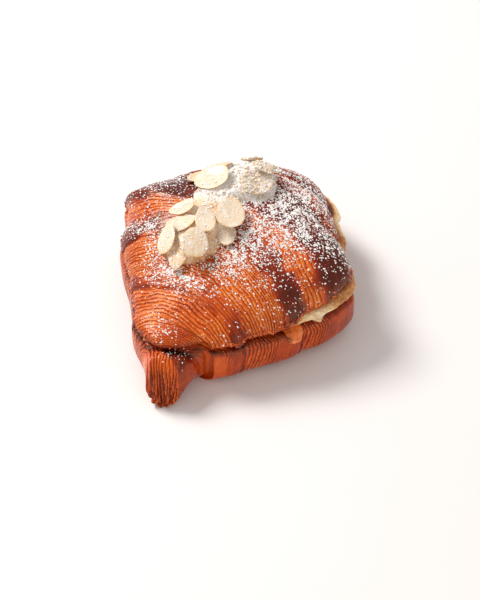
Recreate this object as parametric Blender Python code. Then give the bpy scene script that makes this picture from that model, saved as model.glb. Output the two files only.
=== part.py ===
"""An almond croissant, sliced level, filled with almond cream, closed and topped.

Units are metres and Z is up. The roll runs along X with its near tip at -X, and the
croissant rests on Z = 0. A place on the roll is given by three numbers: how far it lies
along the spine from the widest ring, how far across the spine to the left, and how high.
"""

import math

import bpy
import numpy as np

# Driving dimensions of the roll.
NEAR_REACH = 0.0840  # from the widest ring to the near tip
FAR_REACH = 0.0680  # from the widest ring to the far tip
HALF_WIDTH = 0.0610  # of the widest ring
NEAR_TAPER = 0.0780  # where the near side would close to a point
FAR_TAPER = 0.0710
NEAR_TAPER_POWER = 1.5
FAR_TAPER_POWER = 1.12
NEAR_TIP_HALF_WIDTH = 0.0122
FAR_TIP_HALF_WIDTH = 0.0130
NEAR_BEND = 0.0100  # sideways turn of the near tip
NEAR_BEND_START = 0.0600
FAR_BEND = 0.0040
FAR_BEND_START = 0.0150
CENTRE = (-0.00832, 0.0)  # middle of the outline, which becomes the origin

# The wraps: each starts at a notch, swells, and ends at the next notch.
WRAP_EDGES = (-0.0840, -0.0655, -0.0460, -0.0215, 0.0170, 0.0340, 0.0500, 0.0680)
WRAP_SWELL = 0.060  # share of the width
WRAP_RISE = 0.075  # share of the height
SHOULDER = 0.0022  # the second wrap is fuller on its left
TIP_CHEEK = 0.0042  # the near tip is fuller on its right
FAR_CHEEK = 0.0034  # and so is the far end of the body
FAR_SHOULDER = 0.0030  # the wrap beyond the widest ring is fuller on its left
NEAR_END_RADIUS = 0.0045  # that rounds the near tip off, seen from above

# Heights.
CUT_HEIGHT = 0.0230  # of the level cut
CROWN_HEIGHT = 0.0480  # of the crust over the widest ring
NEAR_TIP_HEIGHT = 0.0240
FAR_TIP_HEIGHT = 0.0175
LEAST_RISE = 0.0046  # of the upper crust above the cut, towards its ends
TOUCH_GAP = 0.0003  # between pieces that lie on each other
SLAB_GAP = 0.0005  # above and below the filling, whose neighbours are curved

# The upper half ends short of both tips.
UPPER_START = -0.0710
UPPER_END = 0.0575

LEAF_RELIEF = 0.06  # of the near tip, whose rolled edge splits into leaves
LEAF_COUNT = 7  # around it
LOWER_FLARE = 0.0007  # how far the lower half stands out from under the upper one
UPPER_INSET = 0.0005
CORNER_SETBACK = 0.0018  # of the upper half at the widest corner on its right
FAR_SETBACK = 0.0040  # and beyond it

# Powers of the superellipses that the cross sections are made of: 2 is round, more is squarer.
TIP_ROUNDNESS = 2.2
BODY_ROUNDNESS_ABOVE = 7.7  # of the lower half, up to the cut
BODY_ROUNDNESS_BELOW = 4.0
DOME_ROUNDNESS_ACROSS = 2.1
DOME_ROUNDNESS_UP = 2.2
FOOT_SHARE = 0.06  # of a section's depth that the flat foot cuts off

# The filling.
THIN_FILLING = 0.0020
THICK_FILLING = 0.0052
FILLING_HEART = (-0.004, -0.057)  # where it is thickest
FILLING_START = -0.0640
FILLING_END = 0.0570
FILLING_INSET = 0.0045  # behind the crust where the slit stays dark
FILLING_BULGE = 0.0012  # beyond the crust where it shows

# The baked cream on top follows a path: x, y, half width, thickness.
CREAM_PATH = (
    (-0.0355, 0.0140, 0.0095, 0.0014),
    (-0.0280, 0.0130, 0.0135, 0.0024),
    (-0.0175, 0.0110, 0.0120, 0.0022),
    (-0.0045, 0.0112, 0.0100, 0.0018),
    (0.0070, 0.0135, 0.0115, 0.0028),
    (0.0160, 0.0100, 0.0145, 0.0044),
    (0.0240, 0.0050, 0.0145, 0.0050),
    (0.0330, 0.0015, 0.0100, 0.0038),
)

CREAM_CLEARANCE = 0.0006  # over the crust
CREAM_RIM = 0.0004  # thickness at its edge

# The almond flakes, in the order in which they lie on each other: x, y, length, width,
# the heading of the pointed end, and how the flake leans up towards that end and its left.
ALMOND_THICKNESS = 0.0010
ALMOND_FLAKES = (
    (-0.0320, 0.0120, 0.0190, 0.0105, -160, 0, 0),
    (-0.0189, 0.0183, 0.0155, 0.0110, -60, 0, 0),
    (-0.0108, 0.0228, 0.0135, 0.0085, 118, 0, -12),
    (-0.0298, 0.0200, 0.0165, 0.0100, 22, 0, 0),
    (-0.0152, -0.0036, 0.0110, 0.0085, 208, 0, 0),
    (-0.0150, 0.0077, 0.0155, 0.0095, 35, 0, 3),
    (-0.0292, 0.0050, 0.0150, 0.0125, 30, 0, 0),
    (-0.0066, -0.0006, 0.0200, 0.0135, 24, 0, -2),
    (0.0145, 0.0290, 0.0120, 0.0105, -30, 0, -8),
    (0.0215, 0.0222, 0.0125, 0.0100, 105, 0, 0),
    (0.0100, 0.0192, 0.0175, 0.0145, 122, 2, -12),
    (0.0172, -0.0012, 0.0155, 0.0125, -50, 0, 0),
    (0.0263, -0.0009, 0.0130, 0.0105, -60, 0, 0),
    (0.0326, 0.0106, 0.0120, 0.0095, 75, 0, 12),
)

# A torn strip of crust hangs from the slit over the lower half's right side.
STRIP_TOP = (-0.0198, 0.0236)  # along the roll, and height
STRIP_FOOT = (-0.0295, 0.0140)
STRIP_HALF_WIDTH = 0.0030
STRIP_THICKNESS = 0.0010

# Mesh steps.
FEWEST_RINGS = 7  # in a wrap
RING_STEP = 0.0032
END_STEP = 0.0004  # from the end of a piece to its last ring
LOWER_SIDES = 32
DOME_SIDES = 24
FLOOR_SIDES = 8
SLAB_SIDES = 10
CREAM_RINGS = 24
CREAM_SIDES = 14
ALMOND_SIDES = 14


def smooth_step(start, end, value):
    share = np.clip((value - start) / (end - start), 0, 1)
    return share * share * (3 - 2 * share)


def bump(value, middle, spread):
    """A bell of height 1: e to the power of minus the squared distance in spreads."""
    return np.exp(-(((value - middle) / spread) ** 2))


def signed_power(value, power):
    return np.sign(value) * np.abs(value) ** power


def end_round(distance, radius):
    """A quarter circle: 0 at the end itself, 1 from one radius away."""
    share = np.clip(1 - distance / radius, 0, 1)
    return np.sqrt(1 - share * share)


def spine(along):
    """Sideways place of the spine: both ends of the roll turn a little."""
    near = np.clip((-along - NEAR_BEND_START) / (NEAR_REACH - NEAR_BEND_START), 0, None)
    far = np.clip((along - FAR_BEND_START) / (FAR_REACH - FAR_BEND_START), 0, None)
    return FAR_BEND * far**1.5 - NEAR_BEND * near**1.35


def ring_turn(along):
    """Angle of a ring to the Y axis: square to the spine, and skewed as the wraps wind."""
    step = 0.0005
    slope = (spine(along + step) - spine(along - step)) / (2 * step)
    near = smooth_step(-0.075, -0.050, along) * (1 - smooth_step(-0.015, 0.005, along))
    return np.arctan(slope) - 0.09 * near + 0.03 * smooth_step(-0.015, 0.005, along)


def place(along, across, height):
    """Points of the roll as an array with X, Y and Z last, measured from the origin."""
    along, across, height = np.broadcast_arrays(along, across, height)
    turn = ring_turn(along)
    x = along - np.sin(turn) * across - CENTRE[0]
    y = spine(along) + np.cos(turn) * across - CENTRE[1]
    return np.stack([x, y, height], axis=-1)


def find_ring(x, y):
    """The inverse of place, by repeated correction: how far along and across a point is."""
    x = x + CENTRE[0]
    y = y + CENTRE[1]
    along = np.array(x, dtype=float)
    for _ in range(10):
        across = (y - spine(along)) / np.cos(ring_turn(along))
        along = x + np.sin(ring_turn(along)) * across
    return along, (y - spine(along)) / np.cos(ring_turn(along))


def wrap_swell(along):
    """0 in the notches and 1 on each wrap's crest, which lies nearer the middle of the roll."""
    edges = np.array(WRAP_EDGES)
    index = np.clip(np.searchsorted(edges, along, side="right") - 1, 0, len(edges) - 2)
    start = edges[index]
    end = edges[index + 1]
    share = np.clip((along - start) / (end - start), 0, 1)
    share = np.where(start > 0, 1 - share, share)
    middle_wrap = (start < 0) & (end > 0)
    share = np.where(middle_wrap, share, share**1.35)
    return np.sin(np.pi * share) ** 0.7


def half_width(along, side):
    """From the spine to the crust, on the left (side 1) or the right (side -1)."""
    near = along < 0
    share = np.where(near, -along / NEAR_TAPER, along / FAR_TAPER)
    power = np.where(near, NEAR_TAPER_POWER, FAR_TAPER_POWER)
    body = HALF_WIDTH * (1 - np.clip(share, 0, 1) ** power)
    near_tip = NEAR_TIP_HALF_WIDTH + 0.2 * (along + 0.065)
    tip = np.where(near, near_tip, FAR_TIP_HALF_WIDTH * smooth_step(0.030, 0.050, along))
    width = (body**6 + tip**6) ** (1 / 6)
    width = width + SHOULDER * bump(along, -0.030, 0.013) * (side > 0)
    width = width - 0.0010 * bump(along, 0.015, 0.020) * (side < 0)
    width = width - 0.0018 * bump(along, -0.078, 0.014) * (side > 0)
    width = width + 0.0018 * bump(along, -0.053, 0.010) * (side < 0)
    width = width + TIP_CHEEK * bump(along, -0.0710, 0.0085) * (side < 0)
    width = width + FAR_CHEEK * bump(along, 0.0430, 0.0130) * (side < 0)
    width = width + FAR_SHOULDER * bump(along, 0.0200, 0.0130) * (side > 0)
    width = width * end_round(along + NEAR_REACH, NEAR_END_RADIUS)
    width = width * end_round(FAR_REACH - along, 0.012)
    return width * (1 + WRAP_SWELL * (wrap_swell(along) - 0.6))


def crown_height(along):
    """Height of the crust's ridge line before the ends are rounded."""
    share = np.where(along < 0, -along / NEAR_REACH, along / FAR_REACH)
    power = np.where(along < 0, 2.1, 3.5)
    return CROWN_HEIGHT * np.clip(1 - np.clip(share, 0, 1) ** power, 0, 1) ** 0.62


def cut_height(x, y):
    """The cut is nearly level: it waves along the roll and drops to the left."""
    return CUT_HEIGHT + 0.0009 * np.sin(x / 0.017 + 0.15) + 0.02 * x - 0.015 * y


def filling_depth(x, y):
    """Thickness of the slit: thick near one side of the roll, thin elsewhere."""
    away = np.hypot(x + CENTRE[0] - FILLING_HEART[0], y + CENTRE[1] - FILLING_HEART[1])
    return THIN_FILLING + THICK_FILLING * bump(away, 0, 0.036) + 0.0012 * smooth_step(0, 0.05, x)


def body_share(along):
    """1 where the roll is sliced, 0 at the tips, which stay whole."""
    return smooth_step(-0.0720, -0.0600, along) * (1 - smooth_step(0.0500, 0.0575, along))


def lower_top(along, x, y):
    """Height of the lower half: the cut over the body, a low round lobe at either tip."""
    body = body_share(along)
    near_lobe = NEAR_TIP_HEIGHT * end_round(along + NEAR_REACH, 0.011)
    near_lobe = near_lobe * (1 - 0.16 * bump(along, -0.0670, 0.0050))
    far_lobe = FAR_TIP_HEIGHT * end_round(FAR_REACH - along, 0.012)
    lobe = np.where(along < 0, near_lobe, far_lobe)
    return lobe * (1 - body) + cut_height(x, y) * body


def ring_positions(start, end):
    """Ring places from start to end: each wrap gets its own, closer together at its notches."""
    inner = [edge for edge in WRAP_EDGES if start + 0.002 < edge < end - 0.002]
    places = []
    for first, last in zip([start, *inner], [*inner, end]):
        count = max(FEWEST_RINGS, round((last - first) / RING_STEP))
        share = np.arange(count) / count
        places.append(first + (last - first) * (0.5 - 0.5 * np.cos(np.pi * share)))
    return np.append(np.concatenate(places), end)


def lower_half():
    """Rings of superellipses: round below with a flat foot, and square at the cut above."""
    along = ring_positions(-NEAR_REACH + END_STEP, FAR_REACH - END_STEP)[:, None]
    angle = np.linspace(-np.pi, np.pi, LOWER_SIDES, endpoint=False)[None, :]
    side = np.where(np.cos(angle) < 0, 1, -1)
    body = body_share(along)
    width = half_width(along, side) + LOWER_FLARE * body
    body_roundness = np.where(np.sin(angle) > 0, BODY_ROUNDNESS_ABOVE, BODY_ROUNDNESS_BELOW)
    roundness = TIP_ROUNDNESS + (body_roundness - TIP_ROUNDNESS) * body
    across = -width * signed_power(np.cos(angle), 2 / roundness)
    rise = signed_power(np.sin(angle), 2 / roundness)
    leaf = np.sin(LEAF_COUNT * angle + 0.8) * bump(along, -0.0800, 0.0045)
    across = across * (1 + LEAF_RELIEF * leaf)
    flat = place(along, across, 0.0)
    top = lower_top(along, flat[..., 0], flat[..., 1]) * (1 + LEAF_RELIEF * leaf)
    # The foot is cut off a little above the lowest point of the section, so it lies flat.
    height = top * (0.5 + 0.5 * rise * np.where(rise > 0, 1, 1 + FOOT_SHARE))
    return place(along, across, np.clip(height, 0, None))


def setback(along):
    """How far the upper half stands back on its right, where the filling shows beside it."""
    corner = CORNER_SETBACK * bump(along, -0.004, 0.011)
    return corner + FAR_SETBACK * smooth_step(0.006, 0.026, along)


def dome_width(along, side):
    rounded = end_round(along - UPPER_START, 0.012) * end_round(UPPER_END - along, 0.012)
    return (half_width(along, side) - UPPER_INSET - setback(along) * (side < 0)) * rounded


def dome_rise(along):
    """Height of the crust above the cut, along the ridge line."""
    rounded = end_round(along - UPPER_START, 0.009) * end_round(UPPER_END - along, 0.016)
    swell = 1 + WRAP_RISE * (wrap_swell(along) - 0.6)
    rise = np.clip(crown_height(along) - CUT_HEIGHT - 0.004, 0, None)
    return (rise**4 + LEAST_RISE**4) ** 0.25 * rounded * swell


def upper_floor(x, y):
    return cut_height(x, y) + filling_depth(x, y)


def crust_height(x, y):
    """Height of the upper crust over a point on the ground."""
    along, across = find_ring(x, y)
    width = np.maximum(dome_width(along, np.where(across > 0, 1, -1)), 0.0001)
    share = np.clip(np.abs(across) / width, 0, 1)
    arch = (1 - share**DOME_ROUNDNESS_ACROSS) ** (1 / DOME_ROUNDNESS_UP)
    return upper_floor(x, y) + dome_rise(along) * arch


def upper_half():
    """A dome over each ring, closed below by the cut."""
    along = ring_positions(UPPER_START + END_STEP, UPPER_END - END_STEP)[:, None]
    angle = np.linspace(0, np.pi, DOME_SIDES + 1)[None, :]
    side = np.where(np.cos(angle) < 0, 1, -1)
    dome_across = signed_power(np.cos(angle), 2 / DOME_ROUNDNESS_ACROSS)
    dome_across = -dome_width(along, side) * dome_across
    dome_up = dome_rise(along) * np.sin(angle) ** (2 / DOME_ROUNDNESS_UP)
    share = np.linspace(1, -1, FLOOR_SIDES + 1)[None, 1:-1]
    floor_across = dome_width(along, np.where(share > 0, 1, -1)) * share
    across = np.concatenate([dome_across, floor_across], axis=1)
    up = np.concatenate([dome_up, np.zeros_like(floor_across)], axis=1)
    flat = place(along, across, 0.0)
    return place(along, across, upper_floor(flat[..., 0], flat[..., 1]) + up)


def filling():
    """A slab in the slit: set back from the crust on the left, swelling out on the right."""
    along = ring_positions(FILLING_START + END_STEP, FILLING_END - END_STEP)[:, None]
    share = np.linspace(-1, 1, SLAB_SIDES + 1)
    share = np.concatenate([share, share[-2:0:-1]])[None, :]
    level = np.where(np.arange(share.size) <= SLAB_SIDES, -1, 1) * np.sqrt(1 - np.abs(share) ** 5)
    side = np.where(share > 0, 1, -1)
    left_shows = smooth_step(0.030, 0.052, along) * (side > 0)
    shows = smooth_step(-0.034, -0.018, along) * (side < 0) + left_shows
    inset = FILLING_INSET * (1 - shows) - FILLING_BULGE * shows
    edge = half_width(along, side) - inset
    rounded = end_round(along - FILLING_START, 0.012) * end_round(FILLING_END - along, 0.012)
    across = edge * rounded * share
    flat = place(along, across, 0.0)
    x = flat[..., 0]
    y = flat[..., 1]
    low = lower_top(along, x, y) + SLAB_GAP
    high = upper_floor(x, y) - SLAB_GAP
    return place(along, across, (low + high) / 2 + (high - low) / 2 * level)


def cream_route(count):
    """The path's own points, joined by a smooth curve: place, half width and thickness."""
    points = np.array(CREAM_PATH)
    share = np.linspace(0, 1, len(points))
    fine = np.linspace(0, 1, count)
    routes = []
    for column in points.T:
        slope = np.gradient(column, share)
        index = np.clip(np.searchsorted(share, fine) - 1, 0, len(share) - 2)
        step = share[1]
        part = (fine - share[index]) / step
        start = column[index]
        end = column[index + 1]
        ease = part * part * (3 - 2 * part)
        lead = part * (1 - part) ** 2 * step * slope[index]
        trail = part**2 * (part - 1) * step * slope[index + 1]
        routes.append(start + (end - start) * ease + lead + trail)
    return np.array(routes).T


def cream_thickness(x, y):
    """Thickness of the cream over a point: full on its path, thin towards its edges."""
    route = cream_route(80)
    away_x = x[..., None] + CENTRE[0] - route[:, 0]
    away_y = y[..., None] + CENTRE[1] - route[:, 1]
    share = np.clip(np.hypot(away_x, away_y) / route[:, 2], 0, 1)
    return (route[:, 3] * (1 - share**2.2)).max(axis=-1)


def cream_floor(x, y):
    return crust_height(x, y) + CREAM_CLEARANCE


def cream():
    """Sections across the path: the crust's own form below, a low round back above."""
    route = cream_route(CREAM_RINGS)
    heading = np.gradient(route[:, :2], axis=0)
    heading = heading / np.linalg.norm(heading, axis=1, keepdims=True)
    share = np.linspace(0, 1, CREAM_RINGS)[:, None]
    angle = (np.arange(CREAM_SIDES) + 0.5) * 2 * np.pi / CREAM_SIDES
    rounded = end_round(share + 0.003, 0.16) * end_round(1.003 - share, 0.18)
    wave = 1 + 0.07 * np.sin(11 * share + 2 * np.sign(np.cos(angle)))
    reach = route[:, 2:3] * rounded * wave * np.cos(angle)
    x = route[:, :1] - heading[:, 1:2] * reach - CENTRE[0]
    y = route[:, 1:2] + heading[:, :1] * reach - CENTRE[1]
    above = np.sin(angle) > 0
    height = cream_floor(x, y) + above * (cream_thickness(x, y) + CREAM_RIM)
    return np.stack([x, y, height], axis=-1)


def almond_outline(angle, length, width):
    """An oval drawn out to a soft point at its front end."""
    front = length / 2 * np.cos(angle)
    taper = 1 - 0.22 * np.cos(angle) - 0.10 * np.cos(angle) ** 3
    return front, width / 2 * np.sin(angle) * taper


def almond_cup(ahead, aside, length, index):
    """How far a flake curls: up at its ends, or down, by turns."""
    curl = 0.0010 if index % 3 else -0.0007
    return curl * (ahead / (length / 2)) ** 2 + 0.4 * curl * (aside / (length / 3)) ** 2


def almond_grid(length, width, rim=1.0):
    """Places all over a flake's face, ahead of its middle and to the left of it."""
    angle = np.linspace(0, 2 * np.pi, 36, endpoint=False)[None, :]
    radius = np.linspace(0, rim, 9)[:, None]
    edge_ahead, edge_aside = almond_outline(angle, length, width)
    return edge_ahead * radius, edge_aside * radius


def soft_ground(x, y):
    """Height of the crust, or of the cream where it covers the crust."""
    thickness = cream_thickness(x, y)
    return crust_height(x, y) + (thickness > 0) * (CREAM_CLEARANCE + CREAM_RIM + thickness)


def over_flake(x, y, flake):
    """Height of a laid flake's upper face over the ground points, or minus one beside it."""
    centre, front, left, _, length, width, index = flake
    area = front[0] * left[1] - front[1] * left[0]
    ahead = ((x - centre[0]) * left[1] - (y - centre[1]) * left[0]) / area
    aside = ((y - centre[1]) * front[0] - (x - centre[0]) * front[1]) / area
    angle = np.arctan2(aside / width, ahead / length)
    inside = np.hypot(ahead, aside) < np.hypot(*almond_outline(angle, length, width)) + 0.0006
    height = centre[2] + ahead * front[2] + aside * left[2]
    height = height + almond_cup(ahead, aside, length, index) + ALMOND_THICKNESS / 2
    return np.where(inside, height, -1.0)


def lay_almonds():
    """Lays the flakes one by one: each leans as what it lies on, and is lifted clear of it."""
    laid = []
    for index, (x, y, length, width, heading, pitch, roll) in enumerate(ALMOND_FLAKES):
        turn = math.radians(heading)
        ahead, aside = almond_grid(length, width)
        ground_x = x - CENTRE[0] + ahead * math.cos(turn) - aside * math.sin(turn)
        ground_y = y - CENTRE[1] + ahead * math.sin(turn) + aside * math.cos(turn)
        ground = ground_height(ground_x, ground_y, laid)
        sums = np.stack([np.ones(ahead.size), ahead.ravel(), aside.ravel()], axis=1)
        level, slope_ahead, slope_aside = np.linalg.lstsq(sums, ground.ravel(), rcond=None)[0]
        slope_ahead += math.tan(math.radians(pitch))
        slope_aside += math.tan(math.radians(roll))
        front = np.array([math.cos(turn), math.sin(turn), slope_ahead])
        left = np.array([-math.sin(turn), math.cos(turn), slope_aside])
        front = front / np.linalg.norm(front)
        left = left - front * left.dot(front)
        left = left / np.linalg.norm(left)
        up = np.cross(front, left)
        centre = np.array([x - CENTRE[0], y - CENTRE[1], level])
        ahead, aside = almond_grid(length, width, 1.02)
        low = almond_cup(ahead, aside, length, index) - ALMOND_THICKNESS / 2
        points = centre + ahead[..., None] * front + aside[..., None] * left + low[..., None] * up
        clearance = points[..., 2] - ground_height(points[..., 0], points[..., 1], laid)
        centre[2] += TOUCH_GAP - clearance.min()
        laid.append((centre, front, left, up, length, width, index))
    return laid


def ground_height(x, y, laid):
    heights = [soft_ground(x, y)] + [over_flake(x, y, flake) for flake in laid]
    return np.max(heights, axis=0)


def almond_rings(centre, front, left, up, length, width, index):
    """Rings over the upper face, round the rim and back under the lower face."""
    radius = np.array([0.50, 0.90, 1.0, 0.90, 0.50])[:, None]
    level = np.array([0.5, 0.5, 0.0, -0.5, -0.5])[:, None]
    angle = np.linspace(0, 2 * np.pi, ALMOND_SIDES, endpoint=False)[None, :]
    edge_ahead, edge_aside = almond_outline(angle, length, width)
    ahead = edge_ahead * radius
    aside = edge_aside * radius
    height = almond_cup(ahead, aside, length, index) + ALMOND_THICKNESS * level
    return centre + ahead[..., None] * front + aside[..., None] * left + height[..., None] * up


def side_of_lower_half(along, height, standoff):
    """A point that stands off the right side of the lower half, at a height."""
    width = half_width(along, -1) + LOWER_FLARE
    flat = place(along, -width, 0.0)
    top = lower_top(along, flat[..., 0], flat[..., 1])
    level = np.clip(height / top, 0.02, 0.98) * 2 - 1
    roundness = np.where(level > 0, BODY_ROUNDNESS_ABOVE, BODY_ROUNDNESS_BELOW)
    share = (1 - np.abs(level) ** roundness) ** (1 / roundness)
    return place(along, -width * share - standoff, height)


def crust_strip():
    """A thin strip that hangs down the side and widens to a torn foot."""
    share = np.linspace(0, 1, 12)[:, None]
    around = np.linspace(-np.pi, np.pi, 10, endpoint=False)[None, :]
    fall = share**1.2
    along = STRIP_TOP[0] + (STRIP_FOOT[0] - STRIP_TOP[0]) * share
    height = STRIP_TOP[1] + (STRIP_FOOT[1] - STRIP_TOP[1]) * fall
    rounded = end_round(share, 0.1) * end_round(1 - share, 0.1)
    width = STRIP_HALF_WIDTH * (0.55 + 0.6 * share) * rounded
    sideways = signed_power(np.cos(around), 0.7) * width
    outward = signed_power(np.sin(around), 0.7) * STRIP_THICKNESS / 2
    standoff = 2.5 * TOUCH_GAP + STRIP_THICKNESS / 2 + 0.0012 * share**2 + outward
    return side_of_lower_half(along + 0.9 * sideways, height - 0.3 * sideways, standoff)


def loft(name, rings, material, collection):
    """A closed mesh through the rings, with a point in the middle of either end ring."""
    count, sides = rings.shape[:2]
    ends = np.array([rings[0].mean(axis=0), rings[-1].mean(axis=0)])
    points = np.concatenate([rings.reshape(-1, 3), ends])
    ring = np.arange(count - 1)[:, None] * sides
    step = np.arange(sides)
    following = (step + 1) % sides
    corners = [ring + step, ring + following, ring + sides + following, ring + sides + step]
    walls = np.stack(corners, axis=-1).reshape(-1, 4)
    pole = np.full(sides, count * sides)
    last = (count - 1) * sides
    start_cap = np.stack([pole, following, step], axis=-1)
    end_cap = np.stack([pole + 1, last + step, last + following], axis=-1)
    faces = walls.tolist() + start_cap.tolist() + end_cap.tolist()
    mesh = bpy.data.meshes.new(name)
    mesh.from_pydata(points.tolist(), [], faces)
    mesh.update()
    if signed_volume(points, faces) < 0:
        mesh.flip_normals()
    mesh.shade_smooth()
    mesh.materials.append(material)
    thing = bpy.data.objects.new(name, mesh)
    collection.objects.link(thing)
    return thing


def signed_volume(points, faces):
    """Six times the volume that the faces enclose, positive where they point outwards."""
    total = 0.0
    for face in faces:
        first = points[face[0]]
        for second, third in zip(face[1:-1], face[2:]):
            total += float(np.dot(first, np.cross(points[second], points[third])))
    return total


def make_material(name, colour, roughness):
    material = bpy.data.materials.new(name)
    material.use_nodes = True
    shader = material.node_tree.nodes["Principled BSDF"]
    shader.inputs["Base Color"].default_value = (*colour, 1.0)
    shader.inputs["Roughness"].default_value = roughness
    shader.inputs["Metallic"].default_value = 0.0
    return material


def build():
    for thing in list(bpy.data.objects):
        bpy.data.objects.remove(thing, do_unlink=True)
    croissant = bpy.data.collections.new("almond_croissant")
    bpy.context.scene.collection.children.link(croissant)

    lower_crust = make_material("lower_crust", (0.48, 0.13, 0.03), 0.45)
    upper_crust = make_material("upper_crust", (0.42, 0.10, 0.02), 0.40)
    filling_cream = make_material("filling_cream", (0.80, 0.55, 0.26), 0.70)
    baked_cream = make_material("baked_cream", (0.82, 0.60, 0.36), 0.75)
    torn_crust = make_material("torn_crust", (0.75, 0.28, 0.05), 0.50)
    almond = make_material("almond", (0.88, 0.78, 0.58), 0.55)

    loft("bottom_half", lower_half(), lower_crust, croissant)
    loft("top_half", upper_half(), upper_crust, croissant)
    loft("almond_filling", filling(), filling_cream, croissant)
    loft("topping_cream", cream(), baked_cream, croissant)
    loft("crust_strip", crust_strip(), torn_crust, croissant)
    for number, flake in enumerate(lay_almonds(), start=1):
        name = f"almond_flake_{number:02d}"
        loft(name, almond_rings(*flake), almond, croissant)


build()
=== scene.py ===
# %% [markdown]
# # A filled almond croissant
#
# On the table lies a croissant that was baked twice: sliced level, filled with almond
# cream, closed, and topped with more cream, sliced almonds and icing sugar. Its plain
# solids are already there, measured and packed. This lesson gives each of them the
# surface that the real one has, and lays what is too small to be a solid, such as sugar
# and crumbs, on top. We load the solids first, because all the rest is placed by them.

import math

import bpy
import numpy as np
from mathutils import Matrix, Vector


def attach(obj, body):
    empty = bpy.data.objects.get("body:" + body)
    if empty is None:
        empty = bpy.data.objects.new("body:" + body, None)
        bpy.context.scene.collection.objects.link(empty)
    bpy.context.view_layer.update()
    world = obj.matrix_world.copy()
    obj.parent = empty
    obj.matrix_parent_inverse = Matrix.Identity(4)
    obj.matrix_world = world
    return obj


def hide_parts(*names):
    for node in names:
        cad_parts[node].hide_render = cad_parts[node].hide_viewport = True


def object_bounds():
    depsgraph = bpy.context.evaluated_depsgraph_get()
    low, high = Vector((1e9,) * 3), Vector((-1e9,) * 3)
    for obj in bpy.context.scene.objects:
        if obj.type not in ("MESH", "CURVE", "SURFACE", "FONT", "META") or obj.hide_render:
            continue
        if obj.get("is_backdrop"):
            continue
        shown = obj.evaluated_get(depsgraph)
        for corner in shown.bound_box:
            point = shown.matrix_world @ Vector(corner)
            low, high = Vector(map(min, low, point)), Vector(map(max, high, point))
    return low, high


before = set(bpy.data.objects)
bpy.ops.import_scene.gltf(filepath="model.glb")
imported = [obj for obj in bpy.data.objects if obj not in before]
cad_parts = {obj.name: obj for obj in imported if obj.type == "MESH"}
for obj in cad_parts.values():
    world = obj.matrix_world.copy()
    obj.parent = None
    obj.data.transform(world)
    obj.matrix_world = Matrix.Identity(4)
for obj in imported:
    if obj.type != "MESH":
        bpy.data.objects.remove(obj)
cad_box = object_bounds()


def in_mm(box):
    """A box in millimetres, to one digit."""
    return [[round(1000 * n, 1) for n in corner] for corner in box]


print("solids:", len(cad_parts), "box in mm:", in_mm(cad_box))

# %% [markdown]
# ## Where a place on the roll is
#
# A croissant is rolled up, so a place on it is told best by how far it lies along the
# roll, how far across, and how high. The solids were made so, and with the same functions
# a finer surface needs no fitting.

# %% The roll's driving dimensions, in metres
MM = 0.001
NEAR_REACH, FAR_REACH = 0.0840, 0.0680
HALF_WIDTH = 0.0610
NEAR_TAPER, FAR_TAPER = 0.0780, 0.0710
NEAR_TAPER_POWER, FAR_TAPER_POWER = 1.5, 1.12
NEAR_TIP_HALF_WIDTH, FAR_TIP_HALF_WIDTH = 0.0122, 0.0130
NEAR_BEND, NEAR_BEND_START = 0.0100, 0.0600
FAR_BEND, FAR_BEND_START = 0.0040, 0.0150
CENTRE_X = -0.00832
WRAP_EDGES = (-0.0840, -0.0655, -0.0460, -0.0215, 0.0170, 0.0340, 0.0500, 0.0680)
WRAP_SWELL, WRAP_RISE = 0.060, 0.075
WIDTH_BELLS = (  # side (1 is left), how much wider, where along, how far it spreads
    (1, 0.0022, -0.030, 0.013), (-1, -0.0010, 0.015, 0.020), (1, -0.0018, -0.078, 0.014),
    (-1, 0.0018, -0.053, 0.010), (-1, 0.0042, -0.0710, 0.0085),
    (-1, 0.0034, 0.0430, 0.0130), (1, 0.0030, 0.0200, 0.0130),
)
NEAR_END_RADIUS, FAR_END_RADIUS, NOSE_RADIUS = 0.0045, 0.012, 0.012
CORNER_SETBACK, FAR_SETBACK, LEAST_RISE = 0.0018, 0.0040, 0.0046
CUT_HEIGHT, CROWN_HEIGHT = 0.0230, 0.0480
NEAR_TIP_HEIGHT, FAR_TIP_HEIGHT = 0.0240, 0.0175
UPPER_START, UPPER_END = -0.0710, 0.0575
LOWER_FLARE, UPPER_INSET = 0.0007, 0.0005
TIP_ROUNDNESS, BODY_ROUNDNESS_ABOVE, BODY_ROUNDNESS_BELOW = 2.2, 7.7, 4.0
DOME_ROUNDNESS_ACROSS, DOME_ROUNDNESS_UP = 2.1, 2.2
FOOT_SHARE = 0.06


def smooth_step(start, end, value):
    """0 before start, 1 after end, and between them 3 shares squared less 2 shares cubed."""
    share = np.clip((value - start) / (end - start), 0, 1)
    return share * share * (3 - 2 * share)


def bump(value, middle, spread):
    """A bell of height 1: e to the power of minus the squared distance in spreads."""
    return np.exp(-(((value - middle) / spread) ** 2))


def bells(value, table):
    """The sum of a table's bells, each with its height, middle and spread."""
    return sum(height * bump(value, middle, spread) for height, middle, spread in table)


def signed_power(value, power):
    """The size of value to a power, with the sign of value."""
    return np.sign(value) * np.abs(value) ** power


def end_round(distance, radius):
    """A quarter circle: 0 at the end itself, 1 from one radius away."""
    share = np.clip(1 - distance / radius, 0, 1)
    return np.sqrt(1 - share * share)


def both_round(value, start, end, first, last):
    """Quarter circles up from the start and down to the end, each with its radius."""
    return end_round(value - start, first) * end_round(end - value, last)


def triple(*values):
    """Three grids or numbers as one vector at each point."""
    return np.stack(np.broadcast_arrays(*values), axis=-1)


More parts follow.
